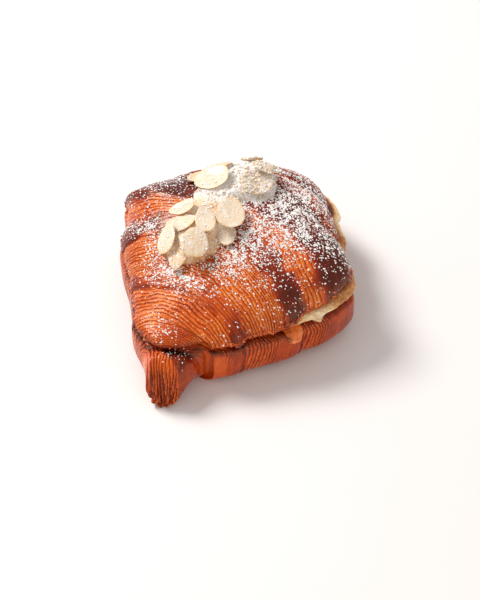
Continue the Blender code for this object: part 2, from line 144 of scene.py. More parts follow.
# %% From the roll to the table and back
def spine(along):
    """Sideways place of the roll's middle: each end turns away by a power of its distance."""
    near = np.clip((-along - NEAR_BEND_START) / (NEAR_REACH - NEAR_BEND_START), 0, None)
    far = np.clip((along - FAR_BEND_START) / (FAR_REACH - FAR_BEND_START), 0, None)
    return FAR_BEND * far**1.5 - NEAR_BEND * near**1.35


def ring_turn(along):
    """Angle of a ring: the slope of the spine, with a skew where the wraps wind."""
    step = 0.0005
    slope = (spine(along + step) - spine(along - step)) / (2 * step)
    behind = smooth_step(-0.015, 0.005, along)
    near = smooth_step(-0.075, -0.050, along) * (1 - behind)
    return np.arctan(slope) - 0.09 * near + 0.03 * behind


def place(along, across, height):
    """The spine's point, moved across by the ring's direction, at a height."""
    turn = ring_turn(along)
    x = along - np.sin(turn) * across - CENTRE_X
    return triple(x, spine(along) + np.cos(turn) * across, height)


def on_table(along, across):
    """The x and the y of a place on the roll."""
    return np.moveaxis(place(along, across, 0.0), -1, 0)[:2]


def find_ring(x, y):
    """The inverse of place, by ten corrections of a first guess."""
    x = x + CENTRE_X
    along = np.array(x, dtype=float)
    for _ in range(10):
        across = (y - spine(along)) / np.cos(ring_turn(along))
        along = x + np.sin(ring_turn(along)) * across
    return along, (y - spine(along)) / np.cos(ring_turn(along))


# %% The croissant's own forms
def wrap_swell(along):
    """A sine to the power 0.7 over each wrap: 0 in its notches, 1 on its crest."""
    edges = np.array(WRAP_EDGES)
    index = np.clip(np.searchsorted(edges, along, side="right") - 1, 0, len(edges) - 2)
    start, end = edges[index], edges[index + 1]
    share = np.clip((along - start) / (end - start), 0, 1)
    share = np.where(start > 0, 1 - share, share)
    share = np.where((start < 0) & (end > 0), share, share**1.35)
    return np.sin(np.pi * share) ** 0.7


def half_width(along, side):
    """From the spine to the crust: a falling power, joined to a blunt tip, with bells,
    rounded ends and the wraps' swell."""
    near = along < 0
    share = np.where(near, -along / NEAR_TAPER, along / FAR_TAPER)
    power = np.where(near, NEAR_TAPER_POWER, FAR_TAPER_POWER)
    body = HALF_WIDTH * (1 - np.clip(share, 0, 1) ** power)
    near_tip = NEAR_TIP_HALF_WIDTH + 0.2 * (along + 0.065)
    tip = np.where(near, near_tip, FAR_TIP_HALF_WIDTH * smooth_step(0.030, 0.050, along))
    width = (body**6 + tip**6) ** (1 / 6)
    for bell_side, height, middle, spread in WIDTH_BELLS:
        width = width + height * bump(along, middle, spread) * (side * bell_side > 0)
    rounded = both_round(along, -NEAR_REACH, FAR_REACH, NEAR_END_RADIUS, FAR_END_RADIUS)
    return width * rounded * (1 + WRAP_SWELL * (wrap_swell(along) - 0.6))


def crown_height(along):
    """Height of the ridge line: 1 less a power of the distance, to the power 0.62."""
    share = np.where(along < 0, -along / NEAR_REACH, along / FAR_REACH)
    power = np.where(along < 0, 2.1, 3.5)
    return CROWN_HEIGHT * np.clip(1 - np.clip(share, 0, 1) ** power, 0, 1) ** 0.62


def cut_height(x, y):
    """A nearly level plane that waves along the roll and drops to the left."""
    return CUT_HEIGHT + 0.0009 * np.sin(x / 0.017 + 0.15) + 0.02 * x - 0.015 * y


def filling_depth(x, y):
    """Thickness of the slit: 2 mm, and a bell of 5 mm more near one side."""
    away = np.hypot(x + CENTRE_X + 0.004, y + 0.057)
    return 0.0020 + 0.0052 * bump(away, 0, 0.036) + 0.0012 * smooth_step(0, 0.05, x)


def body_share(along):
    """1 where the roll is sliced, 0 at the tips, which stay whole."""
    return smooth_step(-0.0720, -0.0600, along) * (1 - smooth_step(0.0500, 0.0575, along))


def lower_top(along, x, y):
    """The cut over the body, blended into a low round lobe at either tip."""
    body = body_share(along)
    near_lobe = NEAR_TIP_HEIGHT * end_round(along + NEAR_REACH, 0.011)
    near_lobe = near_lobe * (1 - 0.16 * bump(along, -0.0670, 0.0050))
    far_lobe = FAR_TIP_HEIGHT * end_round(FAR_REACH - along, FAR_END_RADIUS)
    return np.where(along < 0, near_lobe, far_lobe) * (1 - body) + cut_height(x, y) * body


def dome_width(along, side):
    """The roll's half width, less a setback on the right, rounded off at the lid's ends."""
    rounded = both_round(along, UPPER_START, UPPER_END, NOSE_RADIUS, FAR_END_RADIUS)
    setback = CORNER_SETBACK * bump(along, -0.004, 0.011)
    setback = setback + FAR_SETBACK * smooth_step(0.006, 0.026, along)
    return (half_width(along, side) - UPPER_INSET - setback * (side < 0)) * rounded


def dome_rise(along):
    """Height of the lid above the cut on its ridge line, swelling with each wrap."""
    swell = 1 + WRAP_RISE * (wrap_swell(along) - 0.6)
    rise = np.clip(crown_height(along) - CUT_HEIGHT - 0.004, 0, None)
    rise = (rise**4 + LEAST_RISE**4) ** 0.25
    return rise * both_round(along, UPPER_START, UPPER_END, 0.009, 0.016) * swell


def upper_floor(x, y):
    """Underside of the lid: the cut plus the slit's thickness."""
    return cut_height(x, y) + filling_depth(x, y)


def crust_height(x, y):
    """Height of the lid over a point of the table: a superellipse arch over the cut."""
    along, across = find_ring(x, y)
    width = np.maximum(dome_width(along, np.where(across > 0, 1, -1)), 0.0001)
    share = np.clip(np.abs(across) / width, 0, 1)
    arch = (1 - share**DOME_ROUNDNESS_ACROSS) ** (1 / DOME_ROUNDNESS_UP)
    return upper_floor(x, y) + dome_rise(along) * arch


print("widest ring", round(2000 * float(half_width(np.array(0.0), 1)), 1), "mm across")

# %% [markdown]
# ## Grids, noise and meshes
#
# Every piece below is a grid of points: rings that follow each other along the piece. A
# small toolbox turns such a grid into a closed mesh, works out which way it faces, and
# makes the unevenness of baked dough from value noise: a random number at every
# whole-numbered place, joined smoothly in between.


# %% Value noise
def value_noise(seed, *axes):
    """A random number at each whole-numbered place, blended with smooth shares between."""
    axes = np.broadcast_arrays(*axes)
    base = [np.floor(axis).astype(np.int64) for axis in axes]
    part = [axis - low for axis, low in zip(axes, base)]
    ease = [share * share * (3 - 2 * share) for share in part]
    total = np.zeros(axes[0].shape)
    for corner in range(2 ** len(axes)):
        mixed = np.full(axes[0].shape, seed * 7919 + 12345, dtype=np.int64)
        weight = 1.0
        for number, (low, share) in enumerate(zip(base, ease)):
            step = corner >> number & 1
            mixed = (mixed ^ (low + step)) * 2654435761 & 0xFFFFFFFF
            mixed = mixed ^ (mixed >> 15)
            weight = weight * (share if step else 1 - share)
        total = total + weight * ((mixed * 2246822519 & 0xFFFFFFFF) >> 8) / 0xFFFFFF
    return 2 * total - 1


def rough_noise(seed, octaves, *axes):
    """Value noise in octaves: each is twice as fine as the last and half as strong."""
    total, share = 0.0, 0.0
    for octave in range(octaves):
        finer = [axis * 2**octave for axis in axes]
        total = total + value_noise(seed + octave, *finer) / 2**octave
        share += 1 / 2**octave
    return total / share


sample = value_noise(1, np.linspace(0, 50, 500), np.linspace(0, 20, 500))
print("noise from", round(float(sample.min()), 2), "to", round(float(sample.max()), 2))


# %% Ring places, faces and normals
def ring_places(start, end, count):
    """Places from start to end whose steps shrink towards both ends: the step at a place
    grows with its distance from the nearer end, up to two millimetres away."""
    fine = np.linspace(start, end, 20001)
    near_end = np.minimum(fine - start, end - fine) / MM
    step = 0.06 + np.clip(near_end / 2, 0, 1)
    counted = np.concatenate([[0], np.cumsum(2 / (step[1:] + step[:-1]))])
    return np.interp(np.linspace(0, counted[-1], count), counted, fine)[:, None]


def grid_faces(count, sides):
    """Four corners a face between neighbouring rings, and a fan of three at either end."""
    ring = np.arange(count - 1)[:, None] * sides
    step = np.arange(sides)
    following = (step + 1) % sides
    corners = [ring + step, ring + following, ring + sides + following, ring + sides + step]
    walls = np.stack(corners, axis=-1).reshape(-1, 4)
    pole = np.full(sides, count * sides)
    last = (count - 1) * sides
    start_cap = np.stack([pole, following, step], axis=-1)
    end_cap = np.stack([pole + 1, last + step, last + following], axis=-1)
    return walls, np.concatenate([start_cap, end_cap])


def outward(rings):
    """Unit normals of a ring grid: along the piece crossed with round it, facing away
    from the middle of each ring."""
    ahead = np.gradient(rings, axis=0)
    around = np.roll(rings, -1, axis=1) - np.roll(rings, 1, axis=1)
    normal = np.cross(ahead, around)
    normal = normal / np.maximum(np.linalg.norm(normal, axis=-1, keepdims=True), 1e-12)
    away = rings - rings.mean(axis=1, keepdims=True)
    return normal * np.sign((normal * away).sum(axis=-1).mean())


# %% From arrays to an object
def add_object(name, data):
    """Puts a mesh, a lamp or a camera into the scene."""
    thing = bpy.data.objects.new(name, data)
    bpy.context.scene.collection.objects.link(thing)
    return thing


def all_triangles(walls, caps):
    """Each wall cut in two, then the caps."""
    return np.concatenate([walls[:, :3], walls[:, [0, 2, 3]], caps])


def turned_inside_out(points, walls, caps):
    """True where the faces enclose less than nothing: the sum of the boxes that each
    triangle spans with the origin is negative."""
    triangles = all_triangles(walls, caps)
    first, second, third = (points[triangles[:, corner]] for corner in range(3))
    return np.einsum("ij,ij->i", first, np.cross(second, third)).sum() < 0


def new_piece(name, points, walls, caps, finish, attributes):
    """Puts points and faces into a mesh, faces outward, with named values at its points."""
    if turned_inside_out(points, walls, caps):
        walls, caps = walls[:, ::-1], caps[:, ::-1]
    mesh = bpy.data.meshes.new(name)
    corners = np.concatenate([np.ravel(walls), np.ravel(caps)]).astype(np.int32)
    sizes = np.concatenate([np.full(len(walls), 4), np.full(len(caps), 3)])
    mesh.vertices.add(len(points))
    mesh.vertices.foreach_set("co", np.ravel(points).astype(np.float32))
    mesh.loops.add(len(corners))
    mesh.loops.foreach_set("vertex_index", corners)
    mesh.polygons.add(len(sizes))
    starts = np.concatenate([[0], np.cumsum(sizes)[:-1]]).astype(np.int32)
    mesh.polygons.foreach_set("loop_start", starts)
    for label, values in attributes.items():
        layer = mesh.attributes.new(label, "FLOAT_VECTOR", "POINT")
        layer.data.foreach_set("vector", np.ravel(values).astype(np.float32))
    mesh.update(calc_edges=True)
    mesh.validate()
    mesh.shade_smooth()
    mesh.materials.append(finish)
    piece = add_object(name, mesh)
    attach(piece, "root")
    print(f"{name}: {len(corners) - 2 * len(sizes)} triangles")
    return piece


def ring_piece(name, rings, finish, **values):
    """A closed piece through the rings, with a point in the middle of either end ring, and
    with values under their own labels at its points."""
    attributes = {}
    for label, grid in {"points": rings, **values}.items():
        ends = [grid[0].mean(0), grid[-1].mean(0)]
        attributes[label] = np.concatenate([grid.reshape(-1, 3), ends])
    points = attributes.pop("points")
    return new_piece(name, points, *grid_faces(*rings.shape[:2]), finish, attributes)


print("toolbox ready")

# %% [markdown]
# ## Materials written as sums
#
# A material in Blender is a sheet of nodes joined by wires, and writing it link by link
# is hard to read. So we wrap a wire in a small class that knows how to add and multiply:
# a sum in Python adds its own Math node, and every other node comes from one method.


# %% Wires that can be added and multiplied
def maths(operation, turned=False):
    """A method that adds one Math node; turned, the other value comes first."""

    def method(wire, *others):
        values = (*others, wire) if turned else (wire, *others)
        return wire.sheet.node("Math", {"operation": operation}, *values)

    return method


class Wire:
    """One output of a node. Adding, multiplying and so on adds one Math node each."""

    def __init__(self, sheet, socket):
        self.sheet, self.socket = sheet, socket

    __add__, __radd__ = maths("ADD"), maths("ADD", True)
    __sub__, __rsub__ = maths("SUBTRACT"), maths("SUBTRACT", True)
    __mul__, __rmul__ = maths("MULTIPLY"), maths("MULTIPLY", True)
    fraction, size = maths("FRACT"), maths("ABSOLUTE")
    at_least, at_most = maths("MAXIMUM"), maths("MINIMUM")

    def rising(self, start, end):
        """0 before start, 1 after end, smooth between."""
        settings = {"interpolation_type": "SMOOTHSTEP"}
        return self.sheet.node("MapRange", settings, self, start, end, 0.0, 1.0)


class Sheet:
    """The nodes of one material."""

    def __init__(self, name):
        self.material = bpy.data.materials.new(name)
        self.material.use_nodes = True
        self.tree = self.material.node_tree
        self.shader = self.tree.nodes["Principled BSDF"]

    def node(self, kind, settings=None, *values, out=0, **named):
        """Adds a node, sets its settings first, then fills or links its sockets."""
        made = self.tree.nodes.new("ShaderNode" + kind)
        for key, value in (settings or {}).items():
            setattr(made, key, value)
        for socket, value in zip(made.inputs, values):
            self.join(socket, value)
        self.fill(made, named)
        return Wire(self, made.outputs[out])

    def join(self, socket, value):
        """Links a wire to a socket, or sets the socket to a number or a colour."""
        if isinstance(value, Wire):
            self.tree.links.new(value.socket, socket)
        else:
            socket.default_value = value

    def fill(self, made, named):
        """Joins each value to the input with its name."""
        for key, value in named.items():
            self.join(made.inputs[key.replace("_", " ")], value)

    def attribute(self, label):
        """The three numbers that a mesh holds at its points under this label."""
        vector = self.node("Attribute", {"attribute_name": label}, out=1)
        split = self.node("SeparateXYZ", None, vector).socket.node
        return [Wire(self, socket) for socket in split.outputs]

    def vector(self, x, y, z):
        """Three numbers as one vector."""
        return self.node("CombineXYZ", None, x, y, z)

    def noise(self, vector, detail=3.0, roughness=0.55):
        """Fractal noise from 0 to 1 at a vector."""
        sockets = {"Vector": vector, "Scale": 1.0, "Detail": detail, "Roughness": roughness}
        return self.node("TexNoise", {"noise_dimensions": "3D"}, **sockets)

    def spots(self, scale, detail=3.0, roughness=0.55):
        """Noise over the object itself: at each point times scale, alike in all directions."""
        point = self.node("TexCoord", out=3)
        scaled = self.node("VectorMath", {"operation": "SCALE"}, point, Scale=scale)
        return self.noise(scaled, detail, roughness)

    def ramp(self, value, stops):
        """The colour between stops, each with its place from 0 to 1."""
        made = self.node("ValToRGB", None, value)
        elements = made.socket.node.color_ramp.elements
        while len(elements) < len(stops):
            elements.new(1.0)
        for element, (at, colour) in zip(elements, stops):
            element.position = at
            element.color = (*colour, 1.0)
        return made

    def blend(self, share, first, second):
        """The first colour where share is 0, the second where it is 1."""
        made = self.node("Mix", {"data_type": "RGBA"}, share, out=2)
        for index, value in ((6, first), (7, second)):
            value = value if isinstance(value, Wire) else (*value, 1.0)
            self.join(made.socket.node.inputs[index], value)
        return made

    def relief(self, height, distance):
        """A bump whose height of 1 stands distance metres proud."""
        sockets = {"Strength": 1.0, "Distance": distance, "Height": height}
        return self.node("Bump", None, **sockets)

    def finish(self, **sockets):
        """Fills the shader's own sockets and gives the material back."""
        self.fill(self.shader, sockets)
        return self.material


print("maths on wires:", len([name for name in vars(Wire) if not name.endswith("_")]), "named")

# %% [markdown]
# ## The crust's finish
#
# A laminated crust is a stack of thin sheets whose edges come to the surface as fine
# lines, orange on each edge. The colour is darkened in the gaps between them as painted
# shade, and the lips carry painted glints. Where a wrap was tucked under the next, the
# surface is one smooth sheet, which browns to mahogany. So the finish reads what the mesh
# carries at its points: where the sheets' edges run, how dark it is from baking and from
# painted shade at folds and rims, and how much sugar fell.

# %% Sugar's colour and the crust's material
SUGAR_WHITE = (0.96, 0.91, 0.88)


def crust_finish(name, stops, contrast):
    """Colour ramp over darkness, with painted shade in the gaps between sheets and painted
    glints in broken dashes on their lips, both times the contrast. Over it lie crisp patches
    of sugar: fine noise above a level that falls as the share of sugar rises."""
    sheet = Sheet(name)
    run, around, edge = sheet.attribute("sheets")
    edge = edge + (sheet.spots(420.0) - 0.5) * 0.55
    lined, toast_and_shade, sugar = sheet.attribute("baking")
    # Painted shade: where the gap mask is high, the colour darkens in the grooves between the sheets.
    gap = ((edge.fraction() - 0.5).size() * 2.0).rising(0.42, 1.0) * lined
    lip = (1.0 - (edge.fraction() - 0.30).size().rising(0.0, 0.20)) * lined
    streak = sheet.noise(sheet.vector(edge * 0.9, around * 0.16, run * 0.02), 2.0)
    strand = sheet.noise(sheet.vector(edge * 2.3 + 40.0, around * 0.50, 0.0), 3.0, 0.6)
    dash = sheet.noise(sheet.vector(edge * 1.3 + 7.0, around * 0.9, 3.0), 2.0)
    patch, grain = sheet.spots(75.0), sheet.spots(900.0, 2.0)
    # Painted glints: bright broken dashes on the sheets' lips.
    painted_glint = dash.rising(0.46, 0.62) * lip
    darkness = toast_and_shade + (gap * (0.08 + streak * 0.34) + (streak - 0.5) * 0.34) * contrast
    darkness = darkness + (strand - 0.5) * 0.44 * lined + lined * 0.05 - painted_glint * 0.36 * contrast
    darkness = darkness + (patch - 0.5) * 0.42 + (grain - 0.5) * 0.10
    drift = sheet.noise(sheet.vector(edge * 0.8, around * 0.30, run * 0.1), 3.0, 0.7)
    cover = sheet.spots(1080.0, 2.0, 0.6) + (drift - 0.5) * 0.26
    cover = cover + sugar.at_most(0.5) * 0.19 + gap * 0.03
    dust = cover.rising(0.69, 0.73) * sugar.rising(0.015, 0.06)
    line = (1.0 - gap) * 0.6 + strand * 0.7 * lined
    height = line + patch * 0.3 + grain * 0.22 + dust * 0.7
    return sheet.finish(
        Base_Color=sheet.blend(dust * 0.94, sheet.ramp(darkness, stops), SUGAR_WHITE),
        Roughness=(0.26 + (strand - 0.5) * 0.30 + dust * 0.5).at_most(0.95),
        Specular_IOR_Level=0.50,
        Specular_Tint=(1.0, 0.56, 0.30, 1.0),
        Coat_Weight=(1.0 - dust) * (0.17 - 0.06 * lined),
        Coat_Roughness=0.11,
        Normal=sheet.relief(height, 0.00045),
    )


UPPER_STOPS = (
    (0.00, (0.88, 0.42, 0.140)),
    (0.16, (0.76, 0.19, 0.030)),
    (0.34, (0.60, 0.098, 0.011)),
    (0.52, (0.40, 0.044, 0.006)),
    (0.68, (0.22, 0.016, 0.004)),
    (0.84, (0.140, 0.0090, 0.004)),
    (1.00, (0.070, 0.0058, 0.004)),
)
LOWER_STOPS = (
    (0.00, (0.82, 0.25, 0.040)),
    (0.25, (0.72, 0.120, 0.011)),
    (0.45, (0.54, 0.066, 0.006)),
    (0.62, (0.33, 0.032, 0.005)),
    (0.80, (0.13, 0.011, 0.004)),
    (1.00, (0.022, 0.0040, 0.003)),
)
upper_finish = crust_finish("upper_crust_finish", UPPER_STOPS, 1.0)
lower_finish = crust_finish("lower_crust_finish", LOWER_STOPS, 1.15)
print("crust stops:", len(UPPER_STOPS), "above and", len(LOWER_STOPS), "below")

# %% [markdown]
# ## The upper crust
#
# The lid is a dome over each ring of the roll. On it the sheets' edges run across in
# curves that lag towards the tips at the sides, because the dough was rolled up. So
# every point has a second number, the run: its place along the roll, put forward by a
# power of how far it lies across. Bands of lines and of smooth crust are spans of it.


# %% The run of the upper crust
def lag(run, side):
    """How many millimetres the pattern lags at 50 mm across, read between known places."""
    right = np.interp(run, (-43, -9, 4, 25, 45), (12.5, 22, 16, 17, 10))
    left = np.interp(run, (-43, -9, 4, 20, 40), (12.5, 19, 10, 5, 0))
    return np.where(side < 0, right, left)


def round_the_nose(along):
    """Distance measured over the lid's rounded nose: within one radius of the end, the
    radius times the angle whose cosine is 1 less the share of the radius."""
    share = np.clip((along - UPPER_START) / NOSE_RADIUS, 0, 1)
    return along + NOSE_RADIUS * (np.arccos(1 - share) - share - math.pi / 2 + 1)


def upper_run(along, across):
    """Place along, plus the lag times the share across to the power 1.45: the lag is
    itself read at the run, so the sum is repeated until it settles."""
    aside = across / MM + 5
    share = (np.abs(aside) / 50) ** 1.45
    start = round_the_nose(along) / MM
    run = start
    for _ in range(8):
        run = start + lag(run, aside) * share
    return run


def span(value, start, end, soft):
    """1 between start and end, 0 outside, with edges as wide as soft."""
    half = soft / 2
    begun = smooth_step(start - half, start + half, value)
    return begun * (1 - smooth_step(end - half, end + half, value))


LINE_STEP = 1.55
UPPER_LINED = ((-90, -45.6), (-39, -15.8), (-3, 4), (25.5, 34.5), (40.5, 70))
UPPER_FOLDS = (-45.6, -15.5, 25.0, 40.0)  # where one wrap's edge lies on the next
UPPER_TOAST = (  # how much darker, how much more so near the sides, and the span
    (0.20, 0.26, -45.6, -38.6, 3.0), (0.28, 0.34, -14.6, -4, 4.5),
    (0.66, 0.0, 4.5, 25.5, 6.0), (0.36, 0.0, 34.5, 40.3, 3.0),
)
print("run at the widest rim:", float(upper_run(np.array(0.0), np.array(-0.05)).round(1)))


# %% Relief and baking of the upper crust
def sheet_profile(phase, depth):
    """Sheets' edges: 1 less the size of a sine to the power 0.6 is the gap's depth."""
    return -depth * (1 - np.abs(np.sin(np.pi * phase)) ** 0.6)


def fold_step(run, folds, rise, fall, valley):
    """At each fold the wrap nearer the middle stands proud and sinks back over fall mm,
    and both wraps round down towards the fold."""
    total = np.zeros_like(run)
    for fold in folds:
        beyond = (run - fold) * (1 if fold < 0 else -1)
        sunk = np.exp(-np.clip(beyond, 0, None) / fall)
        total = total + rise * smooth_step(-0.4, 0.5, beyond) * sunk
        total = total - valley * np.exp(-((np.abs(beyond) / 2.8) ** 1.4))
        total = total - 0.35 * bump(beyond, -0.5, 0.6)
    return total


def upper_pattern(along, across):
    """For every point: relief in mm, and the values that the finish reads. The bands' own
    edges wander by a millimetre or two, so no band is ruled."""
    run = upper_run(along, across)
    a, c = along / MM, across / MM
    run = run + 1.1 * value_noise(11, a / 14, c / 14) + 0.40 * value_noise(12, a / 4, c / 6)
    loose = run + 1.7 * value_noise(20, a / 7, c / 5) + 0.7 * value_noise(24, a / 2.5, c / 2)
    lined = sum(span(loose, *ends, 3.0) for ends in UPPER_LINED)
    faint = 0.4 * span(loose, -16, -3, 2.0) + 0.55 * span(loose, -46, -38, 1.0)
    glazed = bump(a, -65, 5) * bump(c, -3, 9)
    lined = np.maximum(lined, faint) * (1 - 0.75 * glazed)
    wobble = 0.45 * value_noise(13, a / 8, c / 9)
    phase = run / LINE_STEP + wobble + 0.16 * value_noise(19, a / 2, c / 4)
    single = value_noise(14, np.floor(phase), c / 9)
    depth = 0.25 + 0.18 * value_noise(15, phase * 0.7, c / 6) + 0.12 * single
    relief = lined * (sheet_profile(phase, depth) + 0.24 * single)
    relief = relief + (1 - lined) * 0.16 * rough_noise(16, 3, run / 3.0, c / 5)
    relief = relief + fold_step(run, UPPER_FOLDS, 0.8, 4.5, 0.9)
    relief = relief + 0.45 * rough_noise(17, 2, a / 13, c / 13)
    relief = relief + 1.3 * bump(a, 4, 10) * bump(c, 50, 11)
    near_side = smooth_step(-16, -40, c) + 0.6 * smooth_step(14, 40, c)
    toast_and_shade = 0.27 + 0.22 * smooth_step(22, 30, loose)
    for dark, darker, start, end, soft in UPPER_TOAST:
        toast_and_shade = toast_and_shade + (dark + darker * near_side) * span(loose, start, end, soft)
    # Painted shade: the colour darkens along each fold, where one wrap tucks under the next.
    for fold in UPPER_FOLDS:
        toast_and_shade = toast_and_shade + 0.14 * bump(run, fold - 0.3 * np.sign(fold), 1.0)
    toast_and_shade = toast_and_shade + 0.14 * smooth_step(-58, -76, a) + 0.16 * glazed
    toast_and_shade = toast_and_shade + 0.12 * rough_noise(18, 3, a / 7, c / 7)
    return relief, run, phase, lined, toast_and_shade


SUGAR_BELLS = (  # share covered, where along and across, how far it spreads along and across
    (0.26, -6, -24, 22, 17), (0.42, 18, -14, 16, 13), (0.48, -14, -12, 12, 8),
    (0.48, -23, 37, 6, 12), (0.20, 2, 46, 13, 14), (0.31, 4, -47, 7, 13),
    (0.35, 8, -30, 12, 10), (0.29, 45, 0, 16, 24), (0.66, -42, 4, 4.5, 11),
    (0.33, -30, -8, 6, 9), (0.16, -64, 1, 6, 6), (0.40, 5, 5, 14, 12),
    (0.31, -32, 24, 5, 7), (0.33, -42, 20, 5, 8), (0.24, 30, -28, 14, 10),
    (0.30, 25, 40, 14, 14),
)


def sugar_fall(along, across):
    """The share of the crust that sugar covers: a few broad bells over the lid."""
    a, c = along / MM, across / MM
    total = sum(h * bump(a, x, w) * bump(c, y, d) for h, x, y, w, d in SUGAR_BELLS)
    return np.clip(0.012 + total, 0.0, 0.58) ** 0.9


print("sugar near the top:", float(sugar_fall(np.array(0.02), np.array(-0.01)).round(2)))


# %% Rings of the upper crust
ARCH_STEPS, FLOOR_STEPS = 222, 30


def upper_crust_rings(count=372):
    """Dome: across is a cosine and up a sine, each to its power. Below, the cut plane."""
    along = ring_places(UPPER_START + 0.00002, UPPER_END - 0.00002, count)
    angle = np.linspace(0, np.pi, ARCH_STEPS + 1)[None, :]
    width = dome_width(along, np.where(np.cos(angle) < 0, 1, -1))
    dome_across = -width * signed_power(np.cos(angle), 2 / DOME_ROUNDNESS_ACROSS)
    dome_up = dome_rise(along) * np.sin(angle) ** (2 / DOME_ROUNDNESS_UP)
    share = np.cos(np.linspace(0, np.pi, FLOOR_STEPS + 2))[None, 1:-1]
    floor_across = dome_width(along, np.where(share > 0, 1, -1)) * share
    across = np.concatenate([dome_across, floor_across], axis=1)
    up = np.concatenate([dome_up, np.zeros_like(floor_across)], axis=1)
    x, y = on_table(along, across)
    rings = place(along, across, upper_floor(x, y) + up)
    return np.broadcast_to(along, across.shape), across, up, rings


# %% Build the upper crust
FILLING_PUSH = 1.7 * MM  # how far the filling lifts the lid's rim where it wells out
LIP_SAGS = ((1.9, -0.0495, 0.0028), (1.2, -0.0610, 0.0030), (0.9, -0.0330, 0.0045))


def fade_to_ends(relief, from_start, from_end, fade):
    """The relief, less of it within one fade of either end."""
    return relief * smooth_step(0.0, fade, np.minimum(from_start, from_end))


def welling(along, side):
    """A bell round the place on the right where the filling wells out."""
    return bump(along, -0.0180, 0.0062) * (side < 0)


along, across, up, rings = upper_crust_rings()
relief, run, phase, lined, toast_and_shade = upper_pattern(along, across)
a, c = along / MM, across / MM
crust_side = np.arange(c.shape[1])[None, :] <= ARCH_STEPS
near_rim = np.clip(1 - up / (1.6 * MM), 0, 1) * crust_side
lip = np.exp(-up / (2.2 * MM)) * crust_side * (across < 0)
ragged = near_rim * 0.7 * rough_noise(21, 3, a / 1.3, c / 30)
relief = relief * crust_side * (1 - 0.75 * near_rim) + ragged
relief = fade_to_ends(relief, along - UPPER_START, UPPER_END - along, 0.0008)
rings = rings + outward(rings) * relief[..., None] * MM
torn = smooth_step(-0.066, -0.058, along) * (1 - smooth_step(-0.002, 0.008, along))
torn = 0.55 + 0.75 * torn * (across < 0)
notches = np.clip(rough_noise(22, 4, a / 1.5, c / 30) * 1.4, -0.7, 1.0)
rings[..., 2] += near_rim * torn * MM * notches
rings[..., 2] -= lip * MM * bells(along, LIP_SAGS)
from_rim = np.where(crust_side, up, 0.7 * (dome_width(along, -1) - np.abs(across)))
rings[..., 2] += FILLING_PUSH * np.exp(-from_rim / (2.2 * MM)) * welling(along, across)
rings[..., 2] += (1 - crust_side) * 0.35 * MM * rough_noise(23, 4, a / 3, c / 3)
sugar = sugar_fall(along, across) * crust_side * (1 - near_rim)
# Painted shade: near the rim the colour darkens towards the nose, where the lid's lip shades the slit below;
# it also follows the notches.
toast_and_shade = toast_and_shade + near_rim * (0.10 * notches + 0.24 * smooth_step(-0.055, -0.062, along))
# The lid's underside is coloured a fixed dark orange, painted shade for the slit that it closes.
upper_crust = ring_piece(
    "upper_crust", rings, upper_finish, sheets=triple(run, c, phase),
    baking=triple(lined * crust_side, np.where(crust_side, toast_and_shade, 0.36), sugar),
)
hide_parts("top_half")
upper_points, upper_sugar, upper_along = rings, sugar, a

# %% [markdown]
# ## The lower crust
#
# The lower half is a superellipse on every ring, round below and square at the cut, with
# a whole round lobe at each tip. Its sheets' edges run down the side faces, turn to run
# along the near tip, and split there into thin leaves.


# %% Rings of the lower crust
def body_angles(count):
    """Angles that share out the length of a body ring evenly: the side faces, which
    show, count three times, and the hidden cut and foot once."""
    fine = np.linspace(-np.pi / 2, 1.5 * np.pi, 40001)
    power = 2 / np.where(np.sin(fine) > 0, BODY_ROUNDNESS_ABOVE, BODY_ROUNDNESS_BELOW)
    y = 50 * signed_power(np.cos(fine), power)
    z = 11.5 * signed_power(np.sin(fine), power)
    length = np.hypot(np.diff(y), np.diff(z)) * np.where(np.abs(y[1:]) > 40, 3.2, 1.0)
    total = np.concatenate([[0], np.cumsum(length)])
    return np.interp(np.linspace(0, total[-1], count + 1)[:-1], total, fine)


def lower_crust_rings(count=404, sides=236):
    """Across is a cosine and up a sine, each to a power that goes from round to square."""
    along = ring_places(-NEAR_REACH + 0.00002, FAR_REACH - 0.00002, count)
    body = body_share(along)
    whole_turn = np.linspace(-np.pi / 2, 1.5 * np.pi, sides, endpoint=False)[None, :]
    angle = whole_turn * (1 - body) + body_angles(sides)[None, :] * body
    width = half_width(along, np.where(np.cos(angle) < 0, 1, -1)) + LOWER_FLARE * body
    body_roundness = np.where(np.sin(angle) > 0, BODY_ROUNDNESS_ABOVE, BODY_ROUNDNESS_BELOW)
    roundness = TIP_ROUNDNESS + (body_roundness - TIP_ROUNDNESS) * body
    across = -width * signed_power(np.cos(angle), 2 / roundness)
    rise = signed_power(np.sin(angle), 2 / roundness)
    x, y = on_table(along, across)
    foot = np.where(rise > 0, 1, 1 + FOOT_SHARE)
    height = lower_top(along, x, y) * (0.5 + 0.5 * rise * foot)
    rings = place(along, across, np.clip(height, 0, None))
    return np.broadcast_to(along, across.shape), across, angle, rise, rings


along, across, angle, rise, rings = lower_crust_rings()
print("lower rings:", rings.shape[0], "of", rings.shape[1])

# %% Relief and baking of the lower crust
LOWER_STEP, LEAF_STEP = 1.25, 1.45
LOWER_LINED = ((-90, -52.7), (-46, -33), (-21.5, -11), (8, 17), (26, 34), (40, 50), (54, 70))
LOWER_DARK = ((-52.7, -46.1), (-33, -21.6), (-11, 8), (17, 26), (34, 40), (50, 54))
LOWER_FOLDS = (-46.0, -21.5, 17.0, 34.0, 50.0)


def tip_sheet(a, c):
    """1 on the smooth sheet that wraps the tip's right side: right of an edge that moves
    right by 0.8 mm for each millimetre towards the tip."""
    edge = np.clip(0.4 + 0.80 * (a + 69.7), -8.0, 3.0)
    return smooth_step(edge + 1.0, edge - 1.0, c) * smooth_step(-67.0, -69.5, a)


